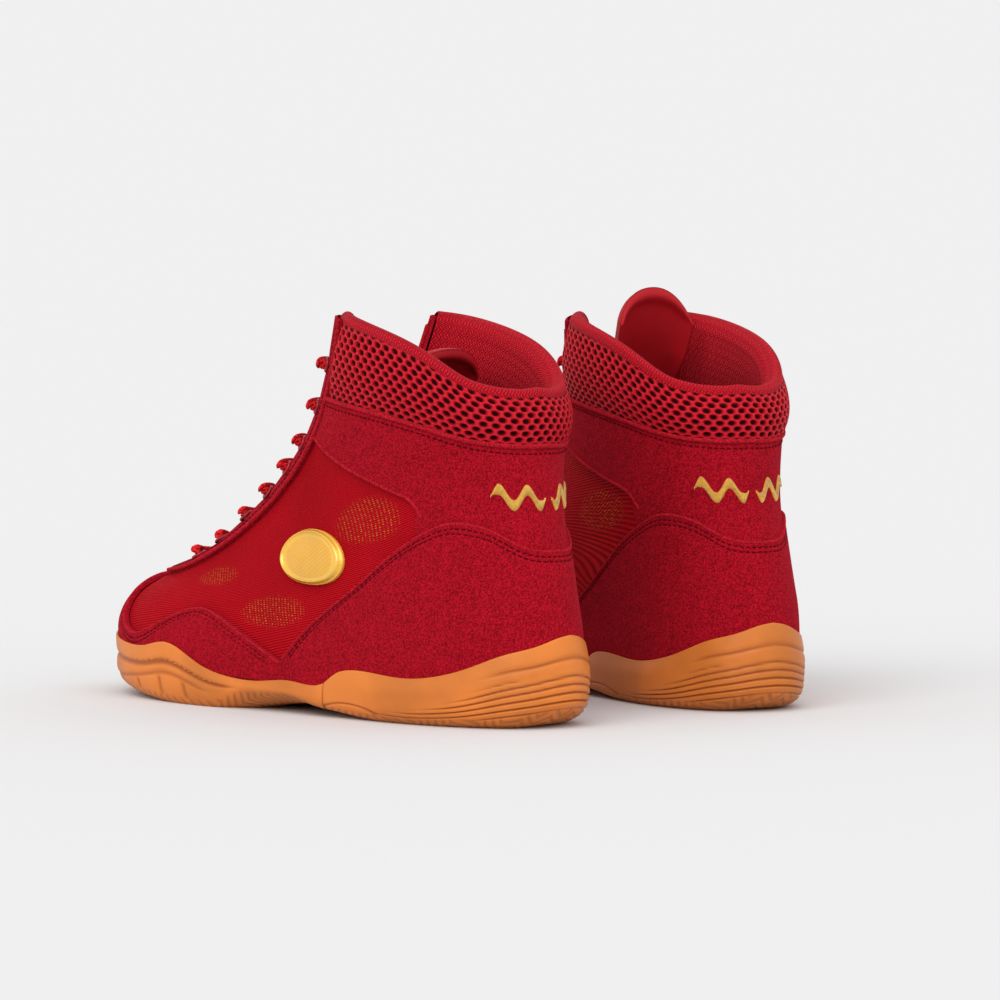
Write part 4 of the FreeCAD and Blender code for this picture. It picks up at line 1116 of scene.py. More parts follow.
def carve_heel(angle, height, outer, wall):
    """Flowing grooves round the heel cup: fine lines that arch over the back and end one after
    another along the sides, a single arc above them, and a long pod outlined near the tread."""
    turn = turn_of(angle)
    phase = (height - 0.15 + 0.10 * ramp(turn, 8, 60)) / 0.088
    inside = ramp(height, 0.10, 0.14) * (1 - ramp(height, 0.64, 0.67))
    end = mix(70.0, 30.0, np.clip((height - 0.10) / 0.55, 0, 1))
    fade = 1 - ramp(turn, end - 7, end + 7)
    ridge = np.abs(phase - np.round(phase)) * 2
    groove = (1 - ramp(ridge, 0.06, 0.46)) * inside * fade
    arc = np.exp(-((height - 0.79) / 0.022) ** 2) * (1 - ramp(turn, 26, 36))
    pod = np.sqrt(((turn - 70) / 7) ** 2 + ((height - 0.16) / 0.14) ** 2)
    outline = np.exp(-((pod - 1) / 0.16) ** 2)
    depth = 0.95 * groove + 0.8 * arc + 0.6 * outline
    # The second value is a painted shade mask for the grooves.
    return depth, np.clip(groove + 0.9 * arc + 0.7 * outline, 0, 1)


def carve_front(angle, height, outer, wall):
    """The front unit's wall: a stitched channel below the rim, a wave below it, and upright
    flex grooves between the wave and the tread."""
    turn = turn_of(angle)
    channel = np.exp(-((height - 0.72) / 0.055) ** 2) * ramp(turn, 98, 104)
    wave_line = 0.46 + 0.09 * np.cos(np.radians((turn - 121) * 5.5))
    wave = np.exp(-((height - wave_line) / 0.045) ** 2) * ramp(turn, 104, 112)
    upright = np.zeros_like(height)
    for place in (113, 121, 130, 141, 153, 166, 178):
        upright = np.maximum(upright, np.exp(-((turn - place - 3.0 * height) / 0.75) ** 2))
    upright = upright * (1 - ramp(height, wave_line - 0.10, wave_line - 0.02)) * ramp(turn, 104, 112)
    depth = 0.85 * channel + 0.6 * wave + 0.8 * upright
    # The second value is a painted shade mask for the grooves.
    return depth, np.clip(0.9 * channel + 0.6 * wave + 0.7 * upright, 0, 1)


def footbed(top, bottom, reach, swell=1.0):
    """A layer of the footbed: spokes to the rim at two heights, closed round the edge. Top and
    bottom are (climb, lift) pairs, climb None to follow the rim."""
    angle = np.linspace(0, 360, 181)[:-1]
    share = np.concatenate([np.linspace(0, 0.9, 12), [0.95, 0.98, 1.0]])
    sheets = []
    for climb, lift in (top, bottom):
        sheets.append(np.array([spoke(angle, s, reach, climb if climb is None else climb(s),
                                      lift) for s in share]))
    upper, lower = sheets
    crown = 1.2 * np.sin(math.pi * np.clip(share, 0, 1))[:, None] * swell
    upper[..., 2] += crown - 1.2 * swell * ramp(share, 0.94, 1.0)[:, None]
    grid = np.concatenate([lower, upper[::-1]], 0)
    return Sheet(grid, wrap=True, flip=False)


# ---------------------------------------------------------------- materials

class Graph:
    """Adds nodes to a tree and links what they are fed with."""

    def __init__(self, tree):
        self.tree = tree

    def node(self, kind, values=None, **settings):
        made = self.tree.nodes.new(kind)
        for name, value in settings.items():
            setattr(made, name, value)
        for socket, value in (values or {}).items():
            self.feed(made.inputs[socket], value)
        return made

    def feed(self, socket, value):
        if isinstance(value, bpy.types.NodeSocket):
            self.tree.links.new(value, socket)
        else:
            socket.default_value = value

    def math(self, operation, *values, clamp=False):
        made = self.node("ShaderNodeMath", operation=operation, use_clamp=clamp)
        for i, value in enumerate(values):
            self.feed(made.inputs[i], value)
        return made.outputs[0]

    def smooth(self, value, low, high, start=0.0, end=1.0):
        made = self.node("ShaderNodeMapRange", {"Value": value, "From Min": low, "From Max": high,
                                                "To Min": start, "To Max": end},
                         interpolation_type="SMOOTHSTEP")
        return made.outputs["Result"]

    def noise(self, place, scale, detail=2.0, rough=0.5):
        return self.node("ShaderNodeTexNoise", {"Vector": place, "Scale": scale, "Detail": detail,
                                                "Roughness": rough}).outputs["Fac"]

    def mix_colour(self, share, a, b, how="MIX"):
        made = self.node("ShaderNodeMix", data_type="RGBA", blend_type=how)
        self.feed(made.inputs["Factor"], share)
        self.feed(made.inputs["A"], a)
        self.feed(made.inputs["B"], b)
        return made.outputs["Result"]

    def bump(self, height, distance, strength=1.0, normal=None):
        made = self.node("ShaderNodeBump", {"Height": height, "Distance": distance, "Strength": strength})
        if normal is not None:
            self.feed(made.inputs["Normal"], normal)
        return made.outputs["Normal"]

    def place(self):
        return self.node("ShaderNodeTexCoord").outputs["Object"]

    def cloth(self):
        return self.node("ShaderNodeUVMap", uv_map="Cloth").outputs["UV"]

    def mark(self, name):
        return self.node("ShaderNodeAttribute", attribute_name=name,
                         attribute_type="GEOMETRY").outputs["Fac"]


def group_tree(name, inputs, outputs):
    """An empty node group with these sockets, and its graph, input node and output node."""
    tree = bpy.data.node_groups.new(name, "ShaderNodeTree")
    for socket, kind, value in inputs:
        made = tree.interface.new_socket(name=socket, in_out="INPUT", socket_type="NodeSocket" + kind)
        if value is not None:
            made.default_value = value
    for socket, kind in outputs:
        tree.interface.new_socket(name=socket, in_out="OUTPUT", socket_type="NodeSocket" + kind)
    graph = Graph(tree)
    return tree, graph, graph.node("NodeGroupInput").outputs, graph.node("NodeGroupOutput").inputs


def nap_group():
    """Suede nap: fine fibres, softer clumps and broad brushed areas, as a height and a shade."""
    tree, graph, given, result = group_tree(
        "suede_nap", (("Place", "Vector", None), ("Fineness", "Float", 1500.0)),
        (("Height", "Float"), ("Shade", "Float")))
    fine = graph.noise(given["Place"], given["Fineness"], 2.0, 0.7)
    clump = graph.noise(given["Place"], graph.math("MULTIPLY", given["Fineness"], 0.24), 2.0, 0.55)
    broad = graph.noise(given["Place"], 26.0, 3.0, 0.5)
    height = graph.math("ADD", graph.math("MULTIPLY", fine, 0.6), graph.math("MULTIPLY", clump, 0.5))
    graph.feed(result["Height"], height)
    speck = graph.math("ADD", graph.math("MULTIPLY", fine, 0.85), graph.math("MULTIPLY", clump, 0.12))
    graph.feed(result["Shade"], graph.math("ADD", speck, graph.math("MULTIPLY", broad, 0.08)))
    return tree


def thread_group():
    """Rows of slanting thread loops on the flat cloth: a wave along each thread times a wave
    across the threads, as a height that is 0 in the gaps and 1 on the thread's crown."""
    tree, graph, given, result = group_tree(
        "thread_rows", (("Cloth", "Vector", None), ("Across", "Float", 1.2), ("Along", "Float", 1.0),
                        ("Slant", "Float", 0.5), ("Zigzag", "Float", 0.0)),
        (("Height", "Float"), ("Thread", "Float")))
    parts = graph.node("ShaderNodeSeparateXYZ", {"Vector": given["Cloth"]}).outputs
    zig = graph.math("PINGPONG", parts["Y"], given["Along"])
    shifted = graph.math("ADD", parts["X"], graph.math("MULTIPLY", zig, given["Zigzag"]))
    shifted = graph.math("ADD", shifted, graph.math("MULTIPLY", parts["Y"], given["Slant"]))
    turn = graph.math("DIVIDE", graph.math("MULTIPLY", shifted, 2 * math.pi), given["Across"])
    rows = graph.math("ADD", graph.math("MULTIPLY", graph.math("SINE", turn), 0.5), 0.5)
    turn_up = graph.math("DIVIDE", graph.math("MULTIPLY", parts["Y"], 2 * math.pi), given["Along"])
    half = graph.math("FLOOR", graph.math("DIVIDE", shifted, given["Across"]))
    stagger = graph.math("ADD", turn_up, graph.math("MULTIPLY", half, math.pi))
    ups = graph.math("ADD", graph.math("MULTIPLY", graph.math("SINE", stagger), 0.5), 0.5)
    height = graph.math("MULTIPLY", graph.math("POWER", rows, 0.7),
                        graph.math("ADD", graph.math("MULTIPLY", ups, 0.55), 0.45))
    graph.feed(result["Height"], height)
    graph.feed(result["Thread"], rows)
    return tree


def lattice_group():
    """A staggered lattice of ovals on the flat cloth: 1 inside an oval and 0 between them."""
    tree, graph, given, result = group_tree(
        "oval_lattice", (("Cloth", "Vector", None), ("Across", "Float", HOLE_ACROSS),
                         ("Up", "Float", HOLE_UP),
                         ("Width", "Float", HOLE_WIDTH), ("Height", "Float", HOLE_HEIGHT)),
        (("Hole", "Float"),))
    parts = graph.node("ShaderNodeSeparateXYZ", {"Vector": given["Cloth"]}).outputs
    rows = graph.math("DIVIDE", parts["Y"], given["Up"])
    row = graph.math("ROUND", rows)
    odd = graph.math("PINGPONG", row, 1.0)
    across = graph.math("ADD", graph.math("DIVIDE", parts["X"], given["Across"]),
                        graph.math("MULTIPLY", odd, 0.5))
    across = graph.math("SUBTRACT", across, graph.math("ROUND", across))
    across = graph.math("DIVIDE", graph.math("MULTIPLY", across, given["Across"]), given["Width"])
    up = graph.math("DIVIDE", graph.math("MULTIPLY", graph.math("SUBTRACT", rows, row), given["Up"]),
                    given["Height"])
    reach = graph.math("SQRT", graph.math("ADD", graph.math("POWER", graph.math("ABSOLUTE", across), 2.0),
                                          graph.math("POWER", graph.math("ABSOLUTE", up), 2.0)))
    graph.feed(result["Hole"], graph.smooth(reach, 0.60, 1.0, 1.0, 0.0))
    return tree


GROUPS = {}


def use(graph, group, **values):
    """Places a shared group in a material with its own values."""
    makers = {"nap": nap_group, "threads": thread_group, "lattice": lattice_group}
    if group not in GROUPS:
        GROUPS[group] = makers[group]()
    made = graph.node("ShaderNodeGroup", node_tree=GROUPS[group])
    for socket, value in values.items():
        graph.feed(made.inputs[socket], value)
    return made.outputs


def rgba(colour, shade=1.0):
    return tuple(min(c * shade, 1.0) for c in colour[:3]) + (1.0,)


def material(name, **constants):
    """A material with its shader's own constants set, and the graph to work in."""
    made = bpy.data.materials.new(name)
    made.use_nodes = True
    graph = Graph(made.node_tree)
    shader = made.node_tree.nodes["Principled BSDF"]
    for socket, value in constants.items():
        shader.inputs[socket.replace("_", " ")].default_value = value
    return made, graph, shader.inputs


def suede_material(name, colour, fineness=1250.0):
    made, graph, shader = material(name, Sheen_Weight=0.16, Sheen_Roughness=0.5, Specular_IOR_Level=0.0,
                                   Sheen_Tint=rgba((1.0, 0.14, 0.19)))
    nap = use(graph, "nap", Place=graph.place(), Fineness=fineness)
    shade = graph.smooth(nap["Shade"], 0.38, 0.68)
    graph.feed(shader["Base Color"], graph.mix_colour(shade, rgba(colour, 0.55), rgba(colour, 1.45)))
    graph.feed(shader["Roughness"], graph.math("MULTIPLY_ADD", shade, -0.10, 0.96))
    graph.feed(shader["Normal"], graph.bump(nap["Height"], 0.0005, 0.8))
    return made


def fabric_material(name, colour, glint):
    """Quarter fabric: slanting twill threads, and open patches whose gaps show gold dots."""
    made, graph, shader = material(name, Sheen_Weight=0.06, Sheen_Roughness=0.4, Specular_IOR_Level=0.02,
                                   Sheen_Tint=rgba((1.0, 0.05, 0.08)))
    cloth = graph.cloth()
    twill = use(graph, "threads", Cloth=cloth, Across=5.4, Along=0.55, Slant=4.0, Zigzag=0.0)
    open_work = use(graph, "lattice", Cloth=cloth, Across=2.0, Up=1.3, Width=0.46, Height=0.40)
    openness = graph.mark("openness")
    drift = graph.noise(graph.place(), 30.0, 3.0)
    base = graph.mix_colour(twill["Height"], rgba(colour, 0.42), rgba(colour, 1.75))
    base = graph.mix_colour(graph.smooth(drift, 0.35, 0.7, 0.0, 0.35), base, rgba(colour, 0.62))
    dots = graph.math("MULTIPLY", open_work["Hole"], openness)
    speck = graph.smooth(graph.noise(cloth, 0.55, 1.0), 0.40, 0.62, 0.15, 0.95)
    base = graph.mix_colour(graph.math("MULTIPLY", dots, speck), base, rgba(glint, 0.8))
    graph.feed(shader["Base Color"], base)
    graph.feed(shader["Roughness"], graph.math("MULTIPLY_ADD", twill["Thread"], -0.18, 0.78))
    height = graph.math("SUBTRACT", twill["Height"], graph.math("MULTIPLY", dots, 0.9))
    graph.feed(shader["Normal"], graph.bump(height, 0.00030, 0.9))
    return made


def air_mesh_material(name, colour):
    """Air mesh: glossy knit with painted highlight on its threads, painted shade in the valleys between the
    ovals and painted shade in the dark ovals.
    """
    made, graph, shader = material(name, Sheen_Weight=0.12, Sheen_Roughness=0.3, Specular_IOR_Level=0.08,
                                   Sheen_Tint=rgba((1.0, 0.12, 0.16)))
    cloth = graph.cloth()
    lattice = use(graph, "lattice", Cloth=cloth)
    knit = use(graph, "threads", Cloth=cloth, Across=0.72, Along=1.1, Slant=0.0, Zigzag=0.8)
    # Thread crowns are brightened up to twice the colour: painted highlight.
    thread = graph.mix_colour(knit["Height"], rgba(colour, 0.85), rgba(colour, 2.1))
    # A wider oval lattice darkens the knit between neighbouring holes: painted shade.
    painted_valley_shade = use(graph, "lattice", Cloth=cloth, Width=2.95, Height=1.95)
    thread = graph.mix_colour(graph.math("MULTIPLY", painted_valley_shade["Hole"], 0.6), thread, rgba(colour, 0.38))
    # The ovals are nearly black: painted shade in the holes.
    graph.feed(shader["Base Color"], graph.mix_colour(lattice["Hole"], thread, rgba(colour, 0.07)))
    graph.feed(shader["Roughness"], graph.math("MULTIPLY_ADD", lattice["Hole"], 0.35, 0.48))
    height = graph.math("SUBTRACT", graph.math("MULTIPLY", knit["Height"], 0.35), lattice["Hole"])
    graph.feed(shader["Normal"], graph.bump(height, 0.0008, 0.8))
    return made


def knit_material(name, colour, across=1.5, along=2.0, rise=0.0006):
    """Knit lining: zigzag ribs of soft yarn."""
    made, graph, shader = material(name, Sheen_Weight=0.15, Sheen_Roughness=0.35, Specular_IOR_Level=0.05,
                                   Sheen_Tint=rgba((1.0, 0.16, 0.2)))
    cloth = graph.cloth()
    knit = use(graph, "threads", Cloth=cloth, Across=across, Along=along, Slant=0.0, Zigzag=0.9)
    fuzz = graph.noise(graph.place(), 2200.0, 2.0, 0.7)
    base = graph.mix_colour(knit["Height"], rgba(colour, 0.40), rgba(colour, 1.55))
    base = graph.mix_colour(graph.smooth(fuzz, 0.45, 0.8, 0.0, 0.4), base, rgba(colour, 1.7))
    graph.feed(shader["Base Color"], base)
    graph.feed(shader["Roughness"], graph.math("MULTIPLY_ADD", knit["Thread"], -0.15, 0.75))
    height = graph.math("ADD", knit["Height"], graph.math("MULTIPLY", fuzz, 0.25))
    graph.feed(shader["Normal"], graph.bump(height, rise, 0.9))
    return made


def satin_material(name, colour):
    """Tongue cloth: a close plain weave with a soft gloss."""
    made, graph, shader = material(name, Sheen_Weight=0.12, Sheen_Roughness=0.3, Specular_IOR_Level=0.14,
                                   Sheen_Tint=rgba((1.0, 0.15, 0.18)))
    weave = use(graph, "threads", Cloth=graph.cloth(), Across=0.55, Along=0.55, Slant=0.0, Zigzag=0.0)
    crease = graph.noise(graph.place(), 70.0, 3.0, 0.5)
    base = graph.mix_colour(weave["Height"], rgba(colour, 0.75), rgba(colour, 1.2))
    # Darker where the crease noise is high: painted shade in the creases.
    base = graph.mix_colour(graph.smooth(crease, 0.4, 0.75, 0.0, 0.3), base, rgba(colour, 0.7))
    graph.feed(shader["Base Color"], base)
    graph.feed(shader["Roughness"], graph.math("MULTIPLY_ADD", crease, 0.25, 0.36))
    height = graph.math("ADD", graph.math("MULTIPLY", weave["Height"], 0.12), crease)
    graph.feed(shader["Normal"], graph.bump(height, 0.0007, 0.6))
    return made


def braid_material(name, colour):
    """Lace: two sets of yarns crossing round the cord."""
    made, graph, shader = material(name, Sheen_Weight=0.12, Sheen_Roughness=0.35, Specular_IOR_Level=0.04,
                                   Sheen_Tint=rgba((1.0, 0.15, 0.15)))
    parts = graph.node("ShaderNodeSeparateXYZ", {"Vector": graph.cloth()}).outputs
    around = graph.math("MULTIPLY", parts["X"], 2 * math.pi * 5)
    along = graph.math("MULTIPLY", parts["Y"], 2 * math.pi / 2.4)
    left = graph.math("SINE", graph.math("ADD", around, along))
    right = graph.math("SINE", graph.math("SUBTRACT", around, along))
    height = graph.math("MULTIPLY_ADD", graph.math("MAXIMUM", left, right), 0.5, 0.5)
    graph.feed(shader["Base Color"], graph.mix_colour(height, rgba(colour, 0.35), rgba(colour, 1.25)))
    graph.feed(shader["Roughness"], graph.math("MULTIPLY_ADD", height, -0.15, 0.78))
    graph.feed(shader["Normal"], graph.bump(height, 0.0004, 0.9))
    return made


def rubber_material(name, colour):
    """Gum rubber: warm, slightly see-through brown with fine moulding grain, painted shade in the
    grooves, and a herringbone tread under the foot with painted shade in its grooves."""
    made, graph, shader = material(name, Specular_IOR_Level=0.22, Coat_Weight=0.03, Coat_Roughness=0.35,
                                   Subsurface_Weight=0.12, Subsurface_Scale=0.004)
    place = graph.place()
    groove = graph.mark("groove")
    wall = graph.mark("wall")
    broad = graph.noise(place, 22.0, 3.0, 0.55)
    grain = graph.noise(place, 900.0, 2.0, 0.6)
    base = graph.mix_colour(graph.smooth(broad, 0.35, 0.7), rgba(colour, 0.84), rgba(colour, 1.12))
    # The groove mark darkens the colour in the carved grooves: painted shade.
    base = graph.mix_colour(graph.smooth(groove, 0.05, 0.95, 0.0, 0.85), base,
                            rgba((colour[0] * 0.52, colour[1] * 0.36, colour[2] * 0.26)))
    parts = graph.node("ShaderNodeSeparateXYZ", {"Vector": place}).outputs
    zig = graph.math("PINGPONG", graph.math("MULTIPLY", parts["Y"], 1.0), 0.006)
    tread_wave = graph.math("SINE", graph.math("MULTIPLY", graph.math("ADD", parts["X"], zig),
                                               2 * math.pi / 0.005))
    tread_mark = graph.math("MULTIPLY", graph.smooth(tread_wave, 0.0, 0.8),
                            graph.math("SUBTRACT", 1.0, wall))
    # The tread's grooves darken the colour under the foot: painted shade.
    base = graph.mix_colour(graph.math("MULTIPLY", tread_mark, 0.5), base, rgba(colour, 0.5))
    graph.feed(shader["Base Color"], base)
    graph.feed(shader["Roughness"], graph.math("MULTIPLY_ADD", grain, 0.2, 0.36))
    height = graph.math("SUBTRACT", graph.math("MULTIPLY", grain, 0.12), tread_mark)
    graph.feed(shader["Normal"], graph.bump(height, 0.0006, 0.6))
    return made


def moulded_gold_material(name, colour):
    """Moulded badge: glossy golden plastic, deeper where the ribs are."""
    made, graph, shader = material(name, Specular_IOR_Level=0.6, Coat_Weight=0.6, Coat_Roughness=0.12)
    ribbed = graph.mark("ribbed")
    flow = graph.noise(graph.place(), 60.0, 2.0, 0.5)
    base = graph.mix_colour(graph.smooth(flow, 0.35, 0.7), rgba(colour, 0.92), rgba(colour, 1.1))
    base = graph.mix_colour(graph.math("MULTIPLY", ribbed, 0.45), base,
                            rgba((colour[0] * 0.95, colour[1] * 0.72, colour[2] * 0.35)))
    graph.feed(shader["Base Color"], base)
    graph.feed(shader["Metallic"], graph.math("MULTIPLY_ADD", ribbed, 0.10, 0.25))
    graph.feed(shader["Roughness"], graph.math("MULTIPLY_ADD", flow, 0.15, 0.20))
    graph.feed(shader["Normal"], graph.bump(flow, 0.0003, 0.3))
    return made


def stitched_gold_material(name, colour):
    """Satin stitch: fine glossy threads side by side."""
    made, graph, shader = material(name, Sheen_Weight=0.2, Specular_IOR_Level=0.6)
    parts = graph.node("ShaderNodeSeparateXYZ", {"Vector": graph.cloth()}).outputs
    wave = graph.math("SINE", graph.math("MULTIPLY", graph.math("ADD", parts["X"],
                                                                graph.math("MULTIPLY", parts["Y"], 0.22)),
                                         2 * math.pi))
    thread = graph.math("MULTIPLY_ADD", wave, 0.5, 0.5)
    tone = graph.noise(graph.place(), 500.0, 2.0)
    base = graph.mix_colour(thread, rgba((colour[0] * 0.62, colour[1] * 0.42, colour[2] * 0.2)),
                            rgba(colour, 1.15))
    graph.feed(shader["Base Color"], graph.mix_colour(graph.smooth(tone, 0.4, 0.8, 0.0, 0.5), base,
                                                      rgba(colour, 1.4)))
    graph.feed(shader["Roughness"], graph.math("MULTIPLY_ADD", thread, -0.15, 0.5))
    graph.feed(shader["Normal"], graph.bump(thread, 0.0003, 0.9))
    return made


def plain_material(name, colour, roughness=0.6, grain=700.0, rise=0.0002, metallic=0.0, gloss=0.4):
    """A hard or felted finish with its own grain and mottling."""
    made, graph, shader = material(name, Specular_IOR_Level=gloss)
    place = graph.place()
    fine = graph.noise(place, grain, 3.0, 0.6)
    broad = graph.noise(place, grain * 0.05, 3.0, 0.5)
    graph.feed(shader["Base Color"], graph.mix_colour(graph.smooth(broad, 0.35, 0.7), rgba(colour, 0.8),
                                                      rgba(colour, 1.15)))
    graph.feed(shader["Roughness"], graph.math("MULTIPLY_ADD", fine, 0.2, roughness - 0.1))
    graph.feed(shader["Metallic"], graph.math("MULTIPLY", graph.smooth(fine, 0.2, 0.6), metallic))
    graph.feed(shader["Normal"], graph.bump(fine, rise, 0.7))
    return made


def vent_material(name, colour):
    """The punched vents: suede with painted shade that darkens it to black down the hole."""
    made, graph, shader = material(name, Specular_IOR_Level=0.0)
    fine = graph.noise(graph.place(), 1500.0, 2.0)
    base = graph.mix_colour(graph.smooth(fine, 0.3, 0.7), rgba(colour, 0.55), rgba(colour, 0.9))
    # The sunk mark blackens the colour down the hole: painted shade.
    graph.feed(shader["Base Color"], graph.mix_colour(graph.mark("sunk"), base,
                                                      rgba((0.004, 0.001, 0.001))))
    graph.feed(shader["Roughness"], graph.math("MULTIPLY_ADD", fine, 0.1, 0.85))
    graph.feed(shader["Normal"], graph.bump(fine, 0.0001, 0.5))
    return made


MATERIALS = {}


def finishes():
    """Every finish, made once with the colours of the scene's settings."""
    if not MATERIALS:
        tone = bpy.context.scene.boot_colours
        MATERIALS.update({
            "suede": suede_material("crimson_suede", tone.suede),
            "fabric": fabric_material("quarter_twill", tone.fabric, tone.glint),
            "air": air_mesh_material("collar_air_mesh", tone.knit),
            "knit": knit_material("lining_knit", tone.knit),
            "lining": knit_material("inner_lining", tone.lining, 1.3, 1.8, 0.0004),
            "satin": satin_material("tongue_satin", tone.satin),
            "braid": braid_material("lace_braid", tone.lace),
            "rubber": rubber_material("gum_rubber", tone.rubber),
            "badge": moulded_gold_material("moulded_gold", tone.gold),
            "embroidery": stitched_gold_material("gold_thread", tone.gold),
            "cord": suede_material("rolled_suede_cord", tone.cord, 1300.0),
            "thread": plain_material("red_thread", tone.thread, 0.7, 2600.0, 0.0001, gloss=0.02),
            "ring": plain_material("painted_eyelet", tone.suede, 0.35, 900.0, 0.00005, metallic=0.3),
            "vent": vent_material("vent_hole", tone.suede),
            "foam": plain_material("cream_foam", (0.62, 0.55, 0.42), 0.9, 1200.0, 0.0004),
            "insole": knit_material("insole_cloth", tone.lining, 1.1, 1.1, 0.0003),
            "plate": plain_material("arch_plate", (0.10, 0.10, 0.11), 0.35, 400.0, 0.0001, metallic=0.6),
            "stiffener": plain_material("moulded_stiffener", (0.60, 0.56, 0.48), 0.7, 500.0, 0.0002),
            "tip": plain_material("lace_tip", (0.30, 0.02, 0.03), 0.25, 300.0, 0.00003),
        })
    return MATERIALS


# ---------------------------------------------------------------- settings

def colour_setting(label, about, default):
    return FloatVectorProperty(name=label, description=about, subtype="COLOR", size=3, min=0, max=1,
                               default=default)


class BootColours(PropertyGroup):
    suede: colour_setting("Suede", "Colour of the suede panels", (0.295, 0.0048, 0.0125))
    fabric: colour_setting("Quarter fabric", "Colour of the twill at the sides", (0.42, 0.004, 0.010))
    glint: colour_setting("Glint", "Colour behind the open work of the twill", (0.80, 0.30, 0.04))
    knit: colour_setting("Collar knit", "Colour of the collar's mesh and rolled lining",
                         (0.46, 0.008, 0.018))
    lining: colour_setting("Lining", "Colour of the cloth inside", (0.30, 0.006, 0.012))
    satin: colour_setting("Tongue", "Colour of the tongue's cloth", (0.42, 0.008, 0.014))
    lace: colour_setting("Lace", "Colour of the lace", (0.55, 0.012, 0.016))
    cord: colour_setting("Piping", "Colour of the rolled cords", (0.36, 0.009, 0.018))
    thread: colour_setting("Stitching", "Colour of the sewing thread", (0.085, 0.002, 0.005))
    rubber: colour_setting("Rubber", "Colour of the soles", (0.60, 0.175, 0.028))
    gold: colour_setting("Gold", "Colour of the badge and the embroidery", (0.80, 0.45, 0.04))
    floor: colour_setting("Floor", "Colour of the floor", (0.683, 0.683, 0.683))


class BootSizes(PropertyGroup):
    stitch_pitch: FloatProperty(name="Stitch pitch", description="From one stitch to the next",
                                unit="LENGTH",
                                default=0.0029, min=0.0015, max=0.006)
    piping: FloatProperty(name="Piping radius", description="Radius of the seam cords", unit="LENGTH",
                          default=0.00105, min=0.0005, max=0.002)
    left_lean: FloatProperty(name="Left tongue", description="How far the left tongue is tipped back",
                             subtype="ANGLE", default=math.radians(35), min=0, max=math.radians(45))
    right_lean: FloatProperty(name="Right tongue", description="How far the right tongue is tipped back",
                              subtype="ANGLE", default=math.radians(6), min=0, max=math.radians(45))
    lens: FloatProperty(name="Lens", description="Focal length of the camera in millimetres", default=145.4,
                        min=50, max=300)


# ---------------------------------------------------------------- operators

class BootPiece(Operator):
    bl_options = {"REGISTER", "UNDO"}

    def execute(self, context):
        self.build(context.scene.boot_sizes, finishes())
        return {"FINISHED"}


class BOOTS_OT_quarter_fabric(BootPiece):
    """Twill fabric of the quarters and the vamp"""
    bl_idname = "boots.quarter_fabric"
    bl_label = "Quarter fabric"

    def build(self, sizes, finish):
        add_pieces("quarter_fabric", quarter_fabric(), finish["fabric"], "both",
                   ("mesh_lateral", "mesh_medial"), ("vamp_mesh",))


class BOOTS_OT_heel_counter(BootPiece):
    """Suede heel counter with two rows of stitches below its rolled edge"""
    bl_idname = "boots.heel_counter"
    bl_label = "Heel counter"

    def build(self, sizes, finish):
        pitch = sizes.stitch_pitch * 1000
        add_pieces("heel_counter", panel(lowest, counter_top, -89, 89, 0.45, 1.25, (3.1, 5.2)),
                   finish["suede"],
                   "boot", ("heel_counter",))
        edge = piping(lambda a: counter_top(a) - 0.006, -88, 88, 1.45, 0.62)
        add_pieces("counter_roll", edge, finish["cord"], "boot")
        rows = stitch_lines(counter_top, -86, 86, (3.1, 5.2), 1.45, pitch)
        add_pieces("counter_stitches", rows, finish["thread"], "boot")


class BOOTS_OT_toe_guard(BootPiece):
    """Suede guard round the toes with its stitches"""
    bl_idname = "boots.toe_guard"
    bl_label = "Toe guard"

    def build(self, sizes, finish):
        guard = panel(lowest, guard_top, 86.5, 273.5, 0.4, 1.1, (3.0, 5.0))
        add_pieces("toe_guard", guard, finish["suede"], "toe", ("toe_guard",))
        edge = piping(lambda a: guard_top(a) - 0.005, 88, 272, 1.3, 0.62)
        add_pieces("guard_roll", edge, finish["cord"], "toe")
        rows = stitch_lines(guard_top, 92, 268, (3.0, 5.0), 1.25, sizes.stitch_pitch * 1000)
        add_pieces("guard_stitches", rows, finish["thread"], "toe")
        puff = panel(lowest, lambda a: 0.25 + 0 * a, 124, 236, -3.3, 0.8, (), 4.0, ends=True)
        add_pieces("toe_puff", puff, finish["stiffener"], "toe", ("toe_puff",))


class BOOTS_OT_ankle_band(BootPiece):
    """Suede band round the ankle with its piping, stitches and vents"""
    bl_idname = "boots.ankle_band"
    bl_label = "Ankle band"

    def build(self, sizes, finish):
        band = panel(band_low, lambda a: COLLAR_SEAM + 0 * a, -136, 136, -0.7, 1.1, (), ends=False)
        add_pieces("ankle_band", band, finish["suede"], "ankle", ("ankle_band",))
        cords = [piping(lambda a: COLLAR_SEAM + 0.002 + 0 * a, -134, 134, 0.75, sizes.piping * 1000)]
        for side in (1, -1):
            cords.append(piping(lambda a: band_edge(a) + 0.004, side * 60, side * 137, 0.45, 0.75, 240))
        add_pieces("ankle_piping", joined(cords), finish["cord"], "ankle")
        rows = [stitch_lines(lambda a: COLLAR_SEAM + 0 * a, -130, 130, (3.0,), 0.42,
                             sizes.stitch_pitch * 1000)]
        add_pieces("ankle_stitches", joined(rows), finish["thread"], "ankle")
        add_pieces("vents", vent_rings(), finish["vent"], "ankle")


class BOOTS_OT_throat(BootPiece):
    """Suede panel round the throat with its piping, stitches, eyelets and backing"""
    bl_idname = "boots.throat"
    bl_label = "Throat"

    def build(self, sizes, finish):
        add_pieces("throat_panel", throat_panel(), finish["suede"], "both",
                   ("eyestay_lateral", "eyestay_medial"))
        add_pieces("throat_piping", throat_piping(), finish["cord"], "both")
        add_pieces("throat_stitches", throat_stitches(), finish["thread"], "both")
        add_pieces("throat_backing", throat_backing(), finish["lining"], "ankle")
        add_pieces("eyelets", eyelet_rings(), finish["ring"], "both", ("eyelets",))


